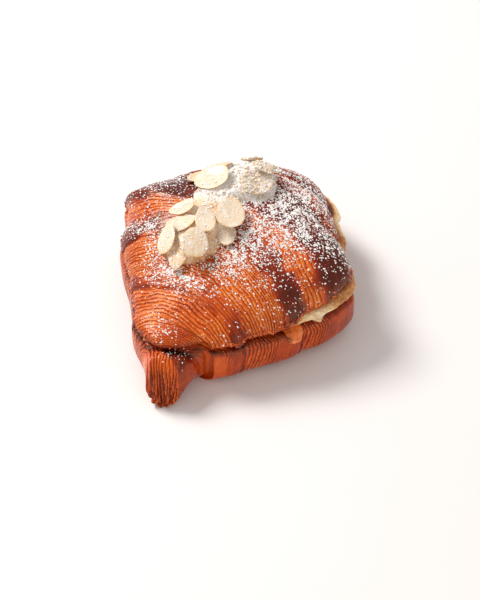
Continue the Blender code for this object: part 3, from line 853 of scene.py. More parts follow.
def lower_pattern(along, across, angle, rings):
    """The run leans back with height on the faces. On the near tip the phase turns into the
    distance from a line along its left edge that begins 72 mm out: so the sheets' lines run
    along the tip, close in arcs at its root and fade at the arcs' heart. The sheets end as
    leaves, each as long as its own draw."""
    a, c, z = along / MM, across / MM, rings[..., 2] / MM
    run = a + 3.5 * (1 - z / 23)
    run = run + 0.8 * value_noise(31, a / 11, angle * 2) + 0.3 * value_noise(32, a / 3, angle * 5)
    loose = run + 1.0 * value_noise(39, a / 6, z / 5)
    lined = sum(span(loose, *ends, 2.0) for ends in LOWER_LINED)
    lined = lined * (1 - 0.9 * span(a, -68, -55, 2.0) * smooth_step(-5, -10, c))
    wind = smooth_step(-60, -71, a)
    flank = 0.8 * smooth_step(8, 12, c) * np.clip(14 - z, 0, 14)
    swirl = np.hypot(1.4 * np.maximum(a + 72, 0), np.maximum(11 - c, 0) + flank)
    heart = wind * smooth_step(5.5, 2.0, swirl)
    phase = (1 - wind) * run / LOWER_STEP + wind * (swirl / LEAF_STEP - 58)
    phase = phase + 0.45 * value_noise(33, a / 8, angle * 2.5)
    phase = phase + 0.15 * value_noise(40, a / 2.5, angle * 6)
    single = value_noise(34, np.floor(phase), angle * 2.2)
    depth = 0.31 + 0.16 * value_noise(35, phase * 0.7, angle * 3) + 0.12 * single
    leaves = smooth_step(-78.0, -82.5, a)
    sheet = tip_sheet(a, c)
    edges = sheet_profile(phase, depth * (1 + 0.9 * leaves)) + (0.18 + 0.3 * leaves) * single
    relief = lined * (1 - sheet) * (1 - 0.6 * heart) * edges
    relief = relief + (1 - lined) * 0.12 * rough_noise(36, 3, a / 4, z / 4) - 0.7 * sheet
    relief = relief + fold_step(run, LOWER_FOLDS, 0.7, 4.5, 0.6) * (1 - leaves)
    relief = relief + 0.35 * rough_noise(37, 2, a / 11, angle * 2)
    toast_and_shade = 0.38 - 0.05 * smooth_step(-60, -70, a) + 0.09 * rough_noise(38, 3, a / 8, z / 6)
    toast_and_shade = toast_and_shade + sum(0.20 * span(loose, *ends, 2.5) for ends in LOWER_DARK)
    # Painted shade: the colour darkens along each fold, where one wrap tucks under the next.
    toast_and_shade = toast_and_shade + sum(0.18 * bump(run, fold, 0.8) for fold in LOWER_FOLDS)
    # Painted shadow: the tip's top darkens where the lid's nose overhangs it.
    root = smooth_step(-72.0, -69.5, a) * smooth_step(-52, -58, a)
    toast_and_shade = toast_and_shade + 0.34 * root * smooth_step(17.5, 21, z)
    toast_and_shade = toast_and_shade + sheet * (0.22 + 0.20 * smooth_step(10, 20, z)) + 0.06 * leaves
    lined = np.maximum(lined, smooth_step(-64, -66, a)) * (1 - sheet)
    lined = lined * (1 - 0.8 * heart) * (1 + 0.15 * leaves)
    return relief, run, phase, lined, toast_and_shade, leaves * (1 - sheet) * single


relief, run, phase, lined, toast_and_shade, leaf_length = lower_pattern(along, across, angle, rings)
print("relief from", round(float(relief.min()), 2), "to", round(float(relief.max()), 2), "mm")

# %% Build the lower crust
sliced = body_share(along)
on_cut = sliced * smooth_step(0.93, 0.985, rise)
on_foot = smooth_step(-0.70, -0.97, rise)
rim = sliced * bump(rise, 0.9, 0.16) * (rise > 0.5) * (1 - on_cut)
a, c = along / MM, across / MM
relief = relief * (1 - on_cut) * (1 - 0.85 * on_foot)
relief = relief + rim * 0.55 * rough_noise(42, 3, a / 1.4, c / 25)
relief = relief + on_cut * 0.25 * rough_noise(43, 4, a / 2.5, c / 2.5)
relief = fade_to_ends(relief, along + NEAR_REACH, FAR_REACH - along, 0.0004)
rings = rings + outward(rings) * relief[..., None] * MM
rings[..., 0] -= 1.1 * MM * leaf_length
rings[..., 2] = np.clip(rings[..., 2], 0, None)
tip_sugar = 0.20 * bump(along, -0.0690, 0.0055) * bump(across, -0.004, 0.008)
tip_sugar = tip_sugar * smooth_step(0.3, 0.8, rise)
# Painted shade: the cut's rim darkens under the lid's edge; the cut itself is lighter and the foot darker.
toast_and_shade = toast_and_shade + 0.10 * on_foot - 0.28 * on_cut + 0.16 * rim
lower_crust = ring_piece(
    "lower_crust", rings, lower_finish,
    sheets=triple(run, rings[..., 2] / MM + c * 0.6 + a * 0.8, phase),
    baking=triple(lined * (1 - on_cut), toast_and_shade, tip_sugar),
)
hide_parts("bottom_half")
lower_points, lower_sugar, lower_along, lower_across = rings, tip_sugar, along, across

# %% [markdown]
# ## The almond cream in the slit
#
# Almond cream bakes to something between custard and cake: pale, rough and full of small
# holes, browner where it met the air. Where it stays hidden in the slit, its colour is
# painted almost black as the slit's shade. The slab has the same edge as its solid, with
# broken noise on it, and it sags a little where it swells out of the slit.


# %% A crumbly finish for cream
def cream_finish(name, stops, scale, rough=0.62, soft=0.12):
    """Colour ramp over darkness, with pits and grains; its own points say how dark it is."""
    sheet = Sheet(name)
    darkness, pale, _ = sheet.attribute("baking")
    grain = sheet.spots(scale, 4.0, 0.65)
    pits = sheet.spots(scale * 2.6, 2.0, 0.5)
    patch = sheet.spots(scale * 0.22)
    value = darkness + (grain - 0.5) * 0.55 + (patch - 0.5) * 0.45 - pale * 0.2
    dust = sheet.spots(1400.0, 3.0, 0.7) + pale - 0.5
    dust = dust.rising(0.45, 0.75) * pale
    height = grain * 0.9 + pits.rising(0.30, 0.48) * 0.5 + pits * 0.2
    return sheet.finish(
        Base_Color=sheet.blend(dust, sheet.ramp(value, stops), SUGAR_WHITE),
        Roughness=rough + (grain - 0.5) * 0.3,
        Subsurface_Weight=soft,
        Subsurface_Radius=(0.0020, 0.0012, 0.0006),
        Coat_Weight=(0.66 - pale).at_least(0.0) * 0.6,
        Normal=sheet.relief(height, 0.0006),
    )


FILLING_STOPS = (
    (0.00, (1.00, 0.82, 0.55)),
    (0.30, (0.98, 0.58, 0.24)),
    (0.60, (0.66, 0.24, 0.055)),
    (0.90, (0.16, 0.028, 0.008)),
)
filling_cream = cream_finish("filling_cream_finish", FILLING_STOPS, 620.0)

# %% Rings of the cream in the slit
FILLING_START, FILLING_END = -0.0640, 0.0570
DRIP = -0.0165  # where along the roll a drop hangs from the filling


def filling_rings(count=300, steps=110):
    """A slab: its edge follows the crust less an inset, and its faces close as 1 less
    the share across to the fifth power. Where it shows, noise pushes the edge in and out."""
    along = ring_places(FILLING_START + 0.0004, FILLING_END - 0.0004, count)
    share = signed_power(np.sin(np.linspace(-np.pi / 2, np.pi / 2, steps + 1)), 0.5)
    share = np.concatenate([share, share[-2:0:-1]])[None, :]
    upper = np.where(np.arange(share.size) <= steps, -1, 1)
    level = upper * np.sqrt(1 - np.abs(share) ** 5)
    side = np.where(share > 0, 1, -1)
    left_shows = smooth_step(0.030, 0.052, along) * (side > 0)
    shows = smooth_step(-0.034, -0.018, along) * (side < 0) + left_shows
    edge = half_width(along, side) - (0.0045 * (1 - shows) - 0.0012 * shows)
    ragged = 0.75 * rough_noise(51, 3, along / MM / 4, level * 1.3 + side * 5) - 0.1
    below = (side < 0) * (level < 0)
    edge = edge + MM * shows * ragged + 0.0016 * bump(along, DRIP, 0.0016) * below
    rounded = both_round(along, FILLING_START, FILLING_END, 0.012, 0.012)
    across = edge * rounded * share
    x, y = on_table(along, across)
    low = lower_top(along, x, y) + 0.0002
    high = upper_floor(x, y) - 0.0002
    shown = smooth_step(0.86, 0.97, np.abs(share)) * shows
    high = high + (FILLING_PUSH - 0.1 * MM) * shown * welling(along, side)
    height = (low + high) / 2 + (high - low) / 2 * level
    sag = rough_noise(52, 2, along / MM / 3.0, level * 0 + side) + 0.2
    drop = 0.0022 * bump(along, DRIP, 0.0014) * (side < 0) * (level < 0.3)
    sag = 0.0009 * sag * (level < 0.2) + drop
    return along, across, level, shown, place(along, across, height - sag * shown)


# %% Build the cream in the slit
along, across, level, shown, rings = filling_rings()
rough = rough_noise(53, 4, *np.moveaxis(rings / MM / 1.6, -1, 0))
rings = rings + outward(rings) * (shown * 0.45 * MM * rough)[..., None]
right = shown * (across < 0)
# Painted shade: where the filling stays hidden in the slit it is coloured almost black; where it shows it is
# pale, and browner in patches on the right.
darkness = 0.95 - 0.86 * shown * smooth_step(-0.031, -0.023, along)
darkness = darkness + 0.10 * np.abs(level) * shown
middle = smooth_step(-0.0150, -0.0060, along) * (1 - smooth_step(0.020, 0.036, along))
patches = smooth_step(0.004, 0.020, along) * rough_noise(57, 3, along / MM / 3, level * 2)
darkness = darkness + right * (0.42 * middle + 0.22 * patches)
slit_cream = ring_piece("slit_cream", rings, filling_cream, baking=triple(darkness, 0, 0))
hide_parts("almond_filling")

# %% [markdown]
# ## The cream on top
#
# A spoonful of the same cream was spread over the lid before the second baking. It is a
# low, broken crust of its own: lumpy, with a ragged edge that thins out to nothing, and
# it holds the sliced almonds. So the slices' places are read first. Each solid already
# lies in its place, and its own points tell its middle and its tilt.

# %% The slices' places, in the order in which they lie on each other
SLICES = (  # length, width and heading of each
    (19.0, 10.5, -160), (15.5, 11.0, -60), (13.5, 8.5, 118), (16.5, 10.0, 22),
    (11.0, 8.5, 208), (15.5, 9.5, 35), (15.0, 12.5, 30), (20.0, 13.5, 24),
    (12.0, 10.5, -30), (12.5, 10.0, 105), (17.5, 14.5, 122), (15.5, 12.5, -50),
    (13.0, 10.5, -60), (12.0, 9.5, 75),
)
SLICE_TOAST = (0.50, 0.25, 0.15, 0.10, 0.10, 0.15, 0.25, 0.15, 0.80, 0.60, 0.10, 0.10, 0.20, 0.25)
SLICE_THICKNESS = 0.0010
SUNK = (11, 12, 13)  # the slices that crumbs and sugar hide, counted from 0


def slice_frame(index):
    """Middle, front, left and up of a solid slice. Up is the direction in which its points
    spread least, and front is the heading, tilted until it is square to up."""
    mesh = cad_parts[f"almond_flake_{index + 1:02d}"].data
    points = np.empty(len(mesh.vertices) * 3)
    mesh.vertices.foreach_get("co", points)
    points = np.unique(np.round(points.reshape(-1, 3), 6), axis=0)
    middle = points.mean(axis=0)
    up = np.linalg.svd(points - middle)[2][2]
    up = up * np.sign(up[2])
    turn = math.radians(SLICES[index][2])
    front = np.array([math.cos(turn), math.sin(turn), 0.0])
    front[2] = -(front[0] * up[0] + front[1] * up[1]) / up[2]
    front = front / np.linalg.norm(front)
    return middle, front, np.cross(up, front), up


# %% The thickness of the cream
CREAM_PATH = (  # x, y, half width and thickness
    (-0.0355, 0.0140, 0.0095, 0.0014), (-0.0280, 0.0130, 0.0135, 0.0024),
    (-0.0175, 0.0110, 0.0120, 0.0022), (-0.0045, 0.0112, 0.0100, 0.0018),
    (0.0070, 0.0135, 0.0115, 0.0028), (0.0160, 0.0100, 0.0145, 0.0044),
    (0.0240, 0.0050, 0.0145, 0.0050), (0.0330, 0.0015, 0.0100, 0.0038),
)


def cream_route(count):
    """A smooth curve through the path's points: cubic steps with the slopes of the path."""
    points = np.array(CREAM_PATH)
    share = np.linspace(0, 1, len(points))
    fine = np.linspace(0, 1, count)
    step = share[1]
    index = np.clip(np.searchsorted(share, fine) - 1, 0, len(share) - 2)
    part = ((fine - share[index]) / step)[:, None]
    slope = np.gradient(points, share, axis=0)
    start, end = points[index], points[index + 1]
    ease = part * part * (3 - 2 * part)
    lead = part * (1 - part) ** 2 * step * slope[index]
    trail = part**2 * (part - 1) * step * slope[index + 1]
    return start + (end - start) * ease + lead + trail


def cream_thickness(x, y):
    """Full on the path, and 1 less the share of the half width to the power 2.2 beside it."""
    route = cream_route(80)
    away = np.hypot(x[..., None] + CENTRE_X - route[:, 0], y[..., None] - route[:, 1])
    share = np.clip(away / route[:, 2], 0, 1)
    return (route[:, 3] * (1 - share**2.2)).max(axis=-1)


def under_slices(x, y, thick):
    """The cream's thickness, raised to each slice where it lies on the cream, and by noise
    on the low patch a little over it, so that the slices sit in the cream and not on it."""
    over = rough_noise(58, 3, x / MM / 3.2, y / MM / 3.2) * smooth_step(0.012, 0.0, x)
    lift = 0.0022 * np.clip(over, -0.15, 0.8) - 0.0002
    for index, (length, width, _) in enumerate(SLICES):
        if index in SUNK:
            continue
        middle, front, left, up = slice_frame(index)
        from_x, from_y = x - middle[0], y - middle[1]
        from_z = -(up[0] * from_x + up[1] * from_y) / up[2]
        offset = np.stack([from_x, from_y, from_z], axis=-1)
        ahead, aside = offset @ front / (length / 2 * MM), offset @ left / (width / 2 * MM)
        near = smooth_step(1.22, 0.80, np.hypot(ahead, aside))
        target = np.minimum(middle[2] + from_z + lift - crust_height(x, y), 0.0062)
        thick = np.maximum(thick, thick + near * (target - thick))
    return thick


def topping_rings(count=190, sides=120):
    """Sections across the path. The edge's reach waves with noise, the top stands at the
    crust plus the cream's thickness plus lumps, and the bottom sinks into the crust."""
    route = cream_route(count)
    heading = np.gradient(route[:, :2], axis=0)
    heading = heading / np.linalg.norm(heading, axis=1, keepdims=True)
    share = np.linspace(0, 1, count)[:, None]
    angle = (np.arange(sides) + 0.5) * 2 * np.pi / sides
    rounded = both_round(share, -0.003, 1.003, 0.16, 0.18)
    side = np.sign(np.cos(angle))[None, :]
    ragged = 0.07 * np.sin(11 * share + 2 * side) + 0.20 * rough_noise(54, 4, share * 26, side * 9)
    reach = route[:, 2:3] * rounded * (1 + ragged) * signed_power(np.cos(angle), 0.8)[None, :]
    x = route[:, :1] - heading[:, 1:2] * reach - CENTRE_X
    y = route[:, 1:2] + heading[:, :1] * reach
    rim = np.abs(np.cos(angle))[None, :] ** 6
    lumps = rough_noise(55, 4, x / MM / 2.2, y / MM / 2.2)
    lumps = lumps * MM * (0.7 + 0.7 * smooth_step(0.0, 0.012, x))
    thick = cream_thickness(x, y) + 0.0013 + 0.0008 * smooth_step(0.008, -0.008, x) + lumps
    above = np.maximum(under_slices(x, y, thick) * (1 - rim), -0.0004)
    height = crust_height(x, y) + np.where(np.sin(angle) > 0, above, -0.0009)
    return triple(x, y, height), np.broadcast_to(rim, x.shape)


# %% Build the cream on top
TOPPING_STOPS = (
    (0.00, (0.95, 0.82, 0.66)),
    (0.35, (0.92, 0.68, 0.43)),
    (0.60, (0.76, 0.40, 0.17)),
    (0.85, (0.45, 0.15, 0.045)),
)
topping_finish = cream_finish("topping_cream_finish", TOPPING_STOPS, 800.0)
rings, rim = topping_rings()
x, y = rings[..., 0], rings[..., 1]
low_end = smooth_step(0.013, 0.001, x)
browned = low_end * (1 + 0.9 * rough_noise(59, 2, x / MM / 5, y / MM / 5))
darkness = 0.02 + 0.22 * rim + 0.44 * browned
darkness = darkness + 0.12 * rough_noise(56, 3, x / MM / 3, y / MM / 3)
baked_cream = ring_piece(
    "baked_cream", rings, topping_finish, baking=triple(darkness, 0.80 - 0.54 * low_end, 0)
)
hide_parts("topping_cream")
cream_points = rings

# %% [markdown]
# ## Sliced almonds
#
# Almonds are peeled and shaved across into ovals a millimetre thick with a soft point.
# They curl as they dry, their rims toast first, and each has a faint seam down its
# middle where the two halves of the seed meet.

# %% The finish of the almonds
ALMOND_STOPS = (
    (0.00, (0.77, 0.62, 0.45)),
    (0.30, (0.77, 0.52, 0.27)),
    (0.60, (0.76, 0.47, 0.19)),
    (1.00, (0.56, 0.24, 0.06)),
)


def almond_finish():
    """Ivory, toasted in patches and along the rim, with a faint seam, fine lines that run
    out from the middle, and a pale bloom of dried cream over most of it."""
    sheet = Sheet("almond_finish")
    out, turn, toasted = sheet.attribute("slice")
    aside = sheet.attribute("face")[1]
    veins = sheet.noise(sheet.vector(turn * 5.0, out * 1.2, toasted * 9.0), 3.0, 0.6)
    patch, fine = sheet.spots(260.0), sheet.spots(1300.0, 3.0, 0.6)
    rim = out.rising(0.84, 1.0)
    seam = 1.0 - (aside.size() * 2.2).rising(0.0, 0.22)
    darkness = toasted * 0.55 + rim * 0.62 + (patch - 0.5) * 0.6
    darkness = darkness + (veins - 0.5) * 0.20 + seam * 0.05
    bloom = (fine + (patch - 0.5) * 0.9).rising(0.44, 0.60) * (0.85 - 0.4 * toasted)
    height = veins * 0.5 + fine * 0.35 - seam * 0.4 + bloom * 0.4
    return sheet.finish(
        Base_Color=sheet.blend(bloom, sheet.ramp(darkness, ALMOND_STOPS), (0.81, 0.71, 0.61)),
        Roughness=0.42 + bloom * 0.3 + rim * 0.1,
        Subsurface_Weight=0.18,
        Subsurface_Radius=(0.0022, 0.0014, 0.0008),
        Coat_Weight=0.6 - bloom * 0.35,
        Coat_Roughness=0.16,
        Normal=sheet.relief(height, 0.00025),
    )


# %% Rings of one slice
def slice_rings(index, sides=64):
    """An oval drawn to a soft point, scaled down ring by ring over the upper face, round
    the rim, and back under the lower face; the cup is a square of the distance."""
    middle, front, left, up = slice_frame(index)
    length, width = SLICES[index][0] * MM, SLICES[index][1] * MM
    radius = np.array([0.02, 0.12, 0.26, 0.40, 0.54, 0.68, 0.80, 0.90, 0.96, 0.99, 1.0])
    radius = np.concatenate([radius, radius[-2::-1]])[:, None]
    upper = np.sign(len(radius) // 2 - np.arange(len(radius)))[:, None]
    level = np.sqrt(np.clip(1 - radius**14, 0, 1)) * upper
    turn = np.linspace(0, 2 * np.pi, sides, endpoint=False)[None, :]
    nick = 1 + 0.035 * value_noise(61 + index, np.sin(turn) * 2.2, np.cos(turn) * 2.2)
    ahead = length / 2 * np.cos(turn) * radius * nick
    pointed = 1 - 0.16 * np.cos(turn) - 0.05 * np.cos(turn) ** 3
    aside = width / 2 * np.sin(turn) * pointed * radius * nick
    curl = 0.0010 if index % 3 else -0.0007
    cup = (ahead / (length / 2)) ** 2 + 0.4 * (aside / (length / 3)) ** 2 - 0.42
    wave = 0.00022 * rough_noise(80 + index, 2, ahead / 0.004, aside / 0.004)
    thick = SLICE_THICKNESS * (0.86 - 0.12 * radius)
    height = curl * cup + wave + thick / 2 * level
    points = middle + ahead[..., None] * front + aside[..., None] * left
    points = points + height[..., None] * up
    face = triple(ahead / length, aside / width, 0)
    out = np.broadcast_to(radius, ahead.shape)
    return points, triple(out, turn, SLICE_TOAST[index]), face


# %% Lay the slices
slice_finish = almond_finish()
slice_grids = []
for index in range(len(SLICES)):
    number = f"{index + 1:02d}"
    points, around, face = slice_rings(index)
    piece = ring_piece(f"almond_slice_{number}", points, slice_finish, slice=around, face=face)
    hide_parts(f"almond_flake_{number}")
    slice_grids.append(points)

# %% [markdown]
# ## The torn strip of crust
#
# Where the filling swells, a strip of the lid's edge broke and hangs over the lower half.
# It is a thin ribbon that follows the side of the crust and frays at its foot.


# %% Rings of the strip
def side_of_lower_half(along, height, standoff):
    """A point beside the right face: the superellipse's width at that height, and more."""
    width = half_width(along, -1) + LOWER_FLARE
    x, y = on_table(along, -width)
    level = np.clip(height / lower_top(along, x, y), 0.02, 0.98) * 2 - 1
    roundness = np.where(level > 0, BODY_ROUNDNESS_ABOVE, BODY_ROUNDNESS_BELOW)
    share = (1 - np.abs(level) ** roundness) ** (1 / roundness)
    return place(along, -width * share - standoff, height)


def strip_rings(count=90, sides=56):
    """A ribbon from the slit down the side: it widens, bends off the face by the square of
    its length, and its foot is cut back by noise, strand by strand."""
    share = np.linspace(0, 1, count)[:, None]
    around = np.linspace(-np.pi, np.pi, sides, endpoint=False)[None, :]
    strand = signed_power(np.cos(around), 0.7)
    frayed = 0.30 * rough_noise(91, 3, strand * 3.5) * smooth_step(0.3, 1.0, share)
    reach = share * (1 + frayed)
    along = -0.0200 - 0.0104 * reach
    height = 0.0238 - 0.0038 * reach
    rounded = both_round(share, -0.004, 1.004, 0.1, 0.05)
    width = np.where(strand > 0, 0.0017, 0.0033) * (0.40 + 0.60 * share) * rounded
    width = width * (1 + 0.14 * rough_noise(92, 3, share * 6, np.sign(strand)))
    sideways = strand * width
    thick = signed_power(np.sin(around), 0.7) * 0.00045
    crease = 0.00030 * rough_noise(93, 3, strand * 4, share * 3)
    standoff = 0.00125 + 0.0012 * share**2 + thick + crease
    along, height = along - 0.5 * sideways, height + 0.75 * sideways
    return share, strand, side_of_lower_half(along, height, standoff)


# %% Build the strip
STRIP_STOPS = (
    (0.00, (0.98, 0.36, 0.08)),
    (0.30, (0.95, 0.21, 0.026)),
    (0.60, (0.66, 0.11, 0.015)),
    (0.90, (0.24, 0.03, 0.006)),
)
strip_finish = cream_finish("torn_crust_finish", STRIP_STOPS, 420.0, 0.45, 0.05)
share, strand, rings = strip_rings()
darkness = 0.02 + 0.24 * smooth_step(0.0, 0.5, share) - 0.06 * smooth_step(0.75, 1.0, share)
darkness = darkness + 0.10 * np.abs(strand) + 0.12 * value_noise(94, strand * 5, share * 2)
torn_strip = ring_piece("torn_strip", rings, strip_finish, baking=triple(darkness, 0, 0))
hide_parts("crust_strip")

# %% [markdown]
# ## Icing sugar
#
# Icing sugar is a fine powder that falls in clumps. From arm's length it is white specks
# of half a millimetre to a millimetre over a faint haze. The haze is in the crust's
# finish. The specks are small lumps, more of them where more sugar fell.


# %% Lumps that lie on a surface
def lump(rings=2, sides=6):
    """A round body of a few rings of points between two poles: a sine and a cosine."""
    level = np.linspace(-np.pi / 2, np.pi / 2, rings + 2)[1:-1, None]
    turn = np.arange(sides)[None, :] * 2 * np.pi / sides
    body = triple(np.cos(level) * np.cos(turn), np.cos(level) * np.sin(turn), np.sin(level))
    points = np.concatenate([body.reshape(-1, 3), [[0, 0, -1], [0, 0, 1]]])
    return points, all_triangles(*grid_faces(rings, sides))


def scatter(name, places, ups, sizes, seed, finish, shape, values=None, slant=None):
    """Copies one lump to every place: stretched by its three sizes, roughened, turned
    about its own up, and moved out along it."""
    draw = np.random.default_rng(seed)
    body, triangles = shape
    count = len(places)
    if slant is None:
        turn = draw.uniform(0, 2 * np.pi, count)
    else:
        turn = slant + draw.normal(0, 0.35, count)
    level = triple(np.cos(turn), np.sin(turn), 0)
    front = level - ups * (level * ups).sum(axis=1, keepdims=True)
    front = front / np.linalg.norm(front, axis=1, keepdims=True)
    left = np.cross(ups, front)
    rough = 1 + draw.uniform(-0.28, 0.28, (count, len(body), 1))
    local = body[None] * rough * sizes[:, None, :] / 2
    points = places[:, None] + local[..., :1] * front[:, None] + local[..., 1:2] * left[:, None]
    points = points + (local[..., 2:] + 0.25 * sizes[:, None, 2:]) * ups[:, None]
    faces = (triangles[None] + np.arange(count)[:, None, None] * len(body)).reshape(-1, 3)
    attributes = {} if values is None else {"baking": np.repeat(values, len(body), axis=0)}
    no_walls = np.zeros((0, 4), int)
    return new_piece(name, points.reshape(-1, 3), no_walls, faces, finish, attributes)


def fallen(grid, share, count, seed, level=0.6):
    """Random places on a ring grid: a face is drawn by its area, times the power level of
    how level it is, times minus the logarithm of the share that stays bare."""
    draw = np.random.default_rng(seed)
    share = np.broadcast_to(share, grid.shape[:2])
    first = grid[:-1]
    normal = np.cross(np.diff(grid, axis=0), np.roll(grid, -1, axis=1)[:-1] - first)
    area = np.linalg.norm(normal, axis=-1)
    up = outward(grid)[:-1]
    bare = 1 - np.clip(share[:-1], 0, 0.9)
    weight = -area * np.log(bare) * np.clip(up[..., 2], 0, 1) ** level
    chosen = draw.choice(weight.size, count, p=(weight / weight.sum()).ravel())
    row, column = np.unravel_index(chosen, weight.shape)
    following = (column + 1) % grid.shape[1]
    u, v = draw.uniform(0, 1, (2, count, 1))
    here = grid[row, column] * (1 - u) + grid[row + 1, column] * u
    there = grid[row, following] * (1 - u) + grid[row + 1, following] * u
    return here * (1 - v) + there * v, up[row, column], share[row, column]


def gathered(falls):
    """The places, ups and shares of several falls, each as one list."""
    return [np.concatenate(column) for column in zip(*falls)]


def three_sizes(draw, wide, *limits):
    """The width, times a draw between each pair of limits, or as it is for None."""
    return triple(*[wide * draw.uniform(*pair, len(wide)) if pair else wide for pair in limits])


# %% The sugar's own finish, and where it fell
def sugar_finish():
    """White powder: matt, a little light inside, with a fine grain."""
    sheet = Sheet("icing_sugar_finish")
    grain = sheet.spots(2600.0, 2.0)
    return sheet.finish(
        Base_Color=sheet.blend(sheet.spots(90.0, 2.0), (0.95, 0.92, 0.90), (0.88, 0.82, 0.79)),
        Roughness=0.8 + grain * 0.15,
        Subsurface_Weight=0.2,
        Subsurface_Radius=(0.0008, 0.0006, 0.0005),
        Normal=sheet.relief(grain, 0.0001),
    )


SPECKS = 8600  # on the lid
clumps = rough_noise(101, 3, upper_points[..., 0] / MM / 2.0, upper_points[..., 1] / MM / 2.0)
clumps = 0.35 + 0.65 * smooth_step(-0.25, 0.40, clumps)
falls = [fallen(upper_points, upper_sugar * clumps, SPECKS, 102)]
falls += [fallen(lower_points, lower_sugar, 40, 103), fallen(cream_points, 0.6, 500, 120)]
for index, grid in enumerate(slice_grids):
    falls.append(fallen(grid, 0.3, 150 if index in SUNK else 34, 104 + index))
places, ups, shares = gathered(falls)
draw = np.random.default_rng(105)
wide = MM * (0.42 + 1.12 * draw.beta(1.3, 3.4, len(places))) * (0.70 + 0.35 * shares)
sizes = three_sizes(draw, wide, (1.0, 1.7), None, (0.35, 0.7))
scatter("icing_sugar", places, ups, sizes, 106, sugar_finish(), lump(), slant=1.5)
print("specks of sugar:", len(places))

# %% [markdown]
# ## Crumbs and torn flakes
#
# A bread knife leaves the edges of the cut ragged: small flakes of crust stand out along
# the lid's rim, and crumbs of crust and of baked cream lie near where they broke off. The
# same scatter lays them, with larger and flatter lumps, and each kind is one piece.

# %% Flakes along the torn rim
FLAKES = 300
RIM_COLUMNS = [*range(2, 9), *range(214, 221)]  # of the lid's grid: right rim, then left
CRUMB = lump(3, 8)
rim_run = upper_along[:, RIM_COLUMNS]
on_right = np.arange(len(RIM_COLUMNS)) < len(RIM_COLUMNS) // 2
torn_right = 0.75 * span(rim_run, -62, -20, 6) + 0.7 * bump(rim_run, 3, 3.5)
torn_right = torn_right + 0.1 * span(rim_run, -20, 40, 6)
torn_left = 0.5 * bump(rim_run, -12, 3.5) + 0.12 * span(rim_run, -60, 40, 8)
torn = 0.03 + np.where(on_right, torn_right, torn_left)
draw = np.random.default_rng(131)
chosen = draw.choice(torn.size, FLAKES, p=(torn / torn.sum()).ravel())
places = upper_points[:, RIM_COLUMNS].reshape(-1, 3)[chosen]
ups = outward(upper_points)[:, RIM_COLUMNS].reshape(-1, 3)[chosen]
ups = ups + draw.normal(0, 0.6, (FLAKES, 3))
ups = ups / np.linalg.norm(ups, axis=1, keepdims=True)
longer = 1 + 0.7 * bump(rim_run, 3, 4) + 0.6 * bump(rim_run, -12, 4)
long = MM * draw.uniform(0.7, 2.0, FLAKES) * longer.ravel()[chosen]
sizes = three_sizes(draw, long, None, (0.35, 0.7), None)
sizes[:, 2] = long * 0.16 + 0.15 * MM
darkness = triple(draw.uniform(0.25, 0.90, FLAKES), 0, 0)
torn_edge = scatter("torn_edge", places, ups, sizes, 132, strip_finish, CRUMB, darkness)


# %% Crumbs of crust and crumbs of cream
def lay_crumbs(name, falls, lengths, wide, high, pale, seed, finish):
    """Crumbs over several falls: as long as a least length and a share of some more, drawn
    from a lopsided bell, then as wide, high and pale as drawn between limits."""
    places, ups, _ = gathered(falls)
    least, more, power = lengths
    long = MM * (least + more * draw.beta(power, 3.0, len(places)))
    sizes = three_sizes(draw, long, None, wide, high)
    darkness = draw.uniform(0.0, 0.5, len(places))
    values = triple(darkness, draw.uniform(*pale, len(places)) if pale else 0, 0)
    return scatter(name, places, ups, sizes, seed, finish, CRUMB, values)


SIDE_CRUMBS = ((0.9, -0.0565, 0.0030), (0.5, -0.0300, 0.006), (0.3, 0.002, 0.006))
under_slit = smooth_step(0.012, 0.019, lower_points[..., 2]) * (lower_across < 0)
side_share = np.clip(bells(lower_along, SIDE_CRUMBS) * under_slit, 0, 0.9)
falls = [fallen(lower_points, side_share, 46, 133, 0.0)]
falls += [fallen(upper_points, 0.1 * (upper_sugar > 0), 40, 134)]
pastry_crumbs = lay_crumbs(
    "pastry_crumbs", falls, (0.5, 1.3, 1.2), (0.5, 0.9), (0.35, 0.7), None, 135, strip_finish
)
mound_share = 0.05 + 0.8 * smooth_step(0.004, 0.016, cream_points[..., 0])
falls = [fallen(cream_points, mound_share, 520, 136, 0.0)]
falls += [fallen(slice_grids[index], 0.5, 75, 140 + index, 0.5) for index in SUNK]
cream_crumbs = lay_crumbs(
    "cream_crumbs", falls, (0.6, 1.5, 1.4), (0.6, 1.0), (0.5, 0.9), (0.2, 1.0), 137, topping_finish
)
print("crumbs of cream:", sum(len(fall[0]) for fall in falls))

# %% [markdown]
# ## The floor, the light and the camera
#
# The part is shown alone on a plain pale floor. A large soft lamp stands behind it to the
# left, a weak warm one low in front, and a bright surrounding fills the shadows, as in a
# studio with white walls.


# %% Floor
def floor_finish():
    """Warm white paint with a slow unevenness."""
    sheet = Sheet("pale_floor_finish")
    patch = sheet.spots(6.0, 2.0)
    colour = sheet.blend(patch, (0.815, 0.785, 0.77), (0.84, 0.81, 0.80))
    return sheet.finish(Base_Color=colour, Roughness=0.55 + patch * 0.1)


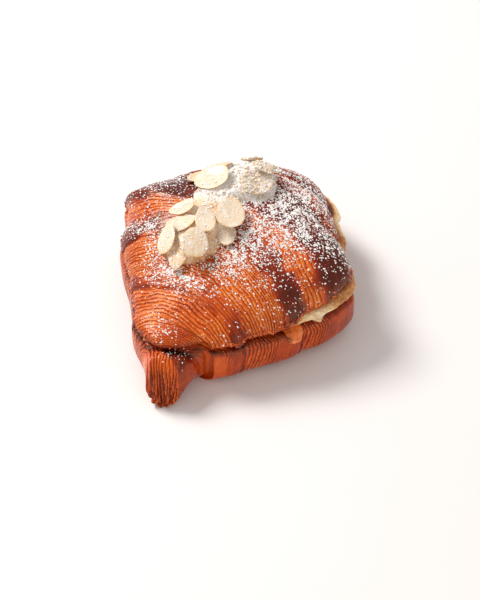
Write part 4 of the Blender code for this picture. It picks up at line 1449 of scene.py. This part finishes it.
FLOOR_REACH = 1.5
corners = FLOOR_REACH * np.array([[-1, -1], [1, -1], [1, 1], [-1, 1]])
floor_mesh = bpy.data.meshes.new("floor")
floor_mesh.from_pydata([(x, y, -0.0001) for x, y in corners.tolist()], [], [[0, 1, 2, 3]])
floor_mesh.materials.append(floor_finish())
floor = add_object("floor", floor_mesh)
floor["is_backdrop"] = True
print("floor:", 2 * FLOOR_REACH, "m square")


# %% Lights
def look_along(thing, direction):
    """Turns a lamp or a camera until it looks along a direction."""
    thing.rotation_mode = "QUATERNION"
    thing.rotation_quaternion = direction.to_track_quat("-Z", "Y")


def soft_light(name, where, size, power, colour):
    """A square lamp at a place, turned towards the croissant."""
    lamp = bpy.data.lights.new(name, "AREA")
    lamp.energy, lamp.size, lamp.color = power, size, colour
    thing = add_object(name, lamp)
    thing.location = where
    look_along(thing, Vector((0, 0, 0.02)) - Vector(where))


soft_light("window", (0.05, 0.75, 0.85), 0.42, 13.5, (1.0, 0.98, 0.96))
soft_light("bounce", (-0.34, -0.62, 0.20), 0.45, 1.1, (1.0, 0.90, 0.78))
scene = bpy.context.scene
scene.world = bpy.data.worlds.new("studio")
scene.world.use_nodes = True
surrounding = scene.world.node_tree.nodes["Background"].inputs
surrounding["Color"].default_value = (1.0, 0.990, 0.98, 1.0)
surrounding["Strength"].default_value = 0.56
scene.view_settings.view_transform = "Standard"

# %% Camera
AZIMUTH, ELEVATION, DISTANCE = math.radians(-60.0), math.radians(46.86), 0.6852
camera_data = bpy.data.cameras.new("camera")
camera_data.lens, camera_data.sensor_width = 85.0, 36.0
camera_data.clip_start, camera_data.clip_end = 0.01, 20.0
camera = add_object("camera", camera_data)
level = math.cos(ELEVATION)
back = (math.sin(AZIMUTH) * level, -math.cos(AZIMUTH) * level, math.sin(ELEVATION))
camera.location = Vector((-0.00061, -0.00693, 0.0)) + Vector(back) * DISTANCE
look_along(camera, -Vector(back))
bpy.context.scene.camera = camera
print("camera at", [round(n, 4) for n in camera.location])

# %% [markdown]
# ## The size
#
# The dressed part's box is measured and set beside its solids' box in one table, and the dressed box is
# printed in millimetres. The dressed part may not outgrow its solids.

# %% Both boxes side by side
dressed_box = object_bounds()
sizes = {"solids": [list(corner) for corner in cad_box], "dressed": [list(corner) for corner in dressed_box]}
print("dressed box in mm:", in_mm(dressed_box))
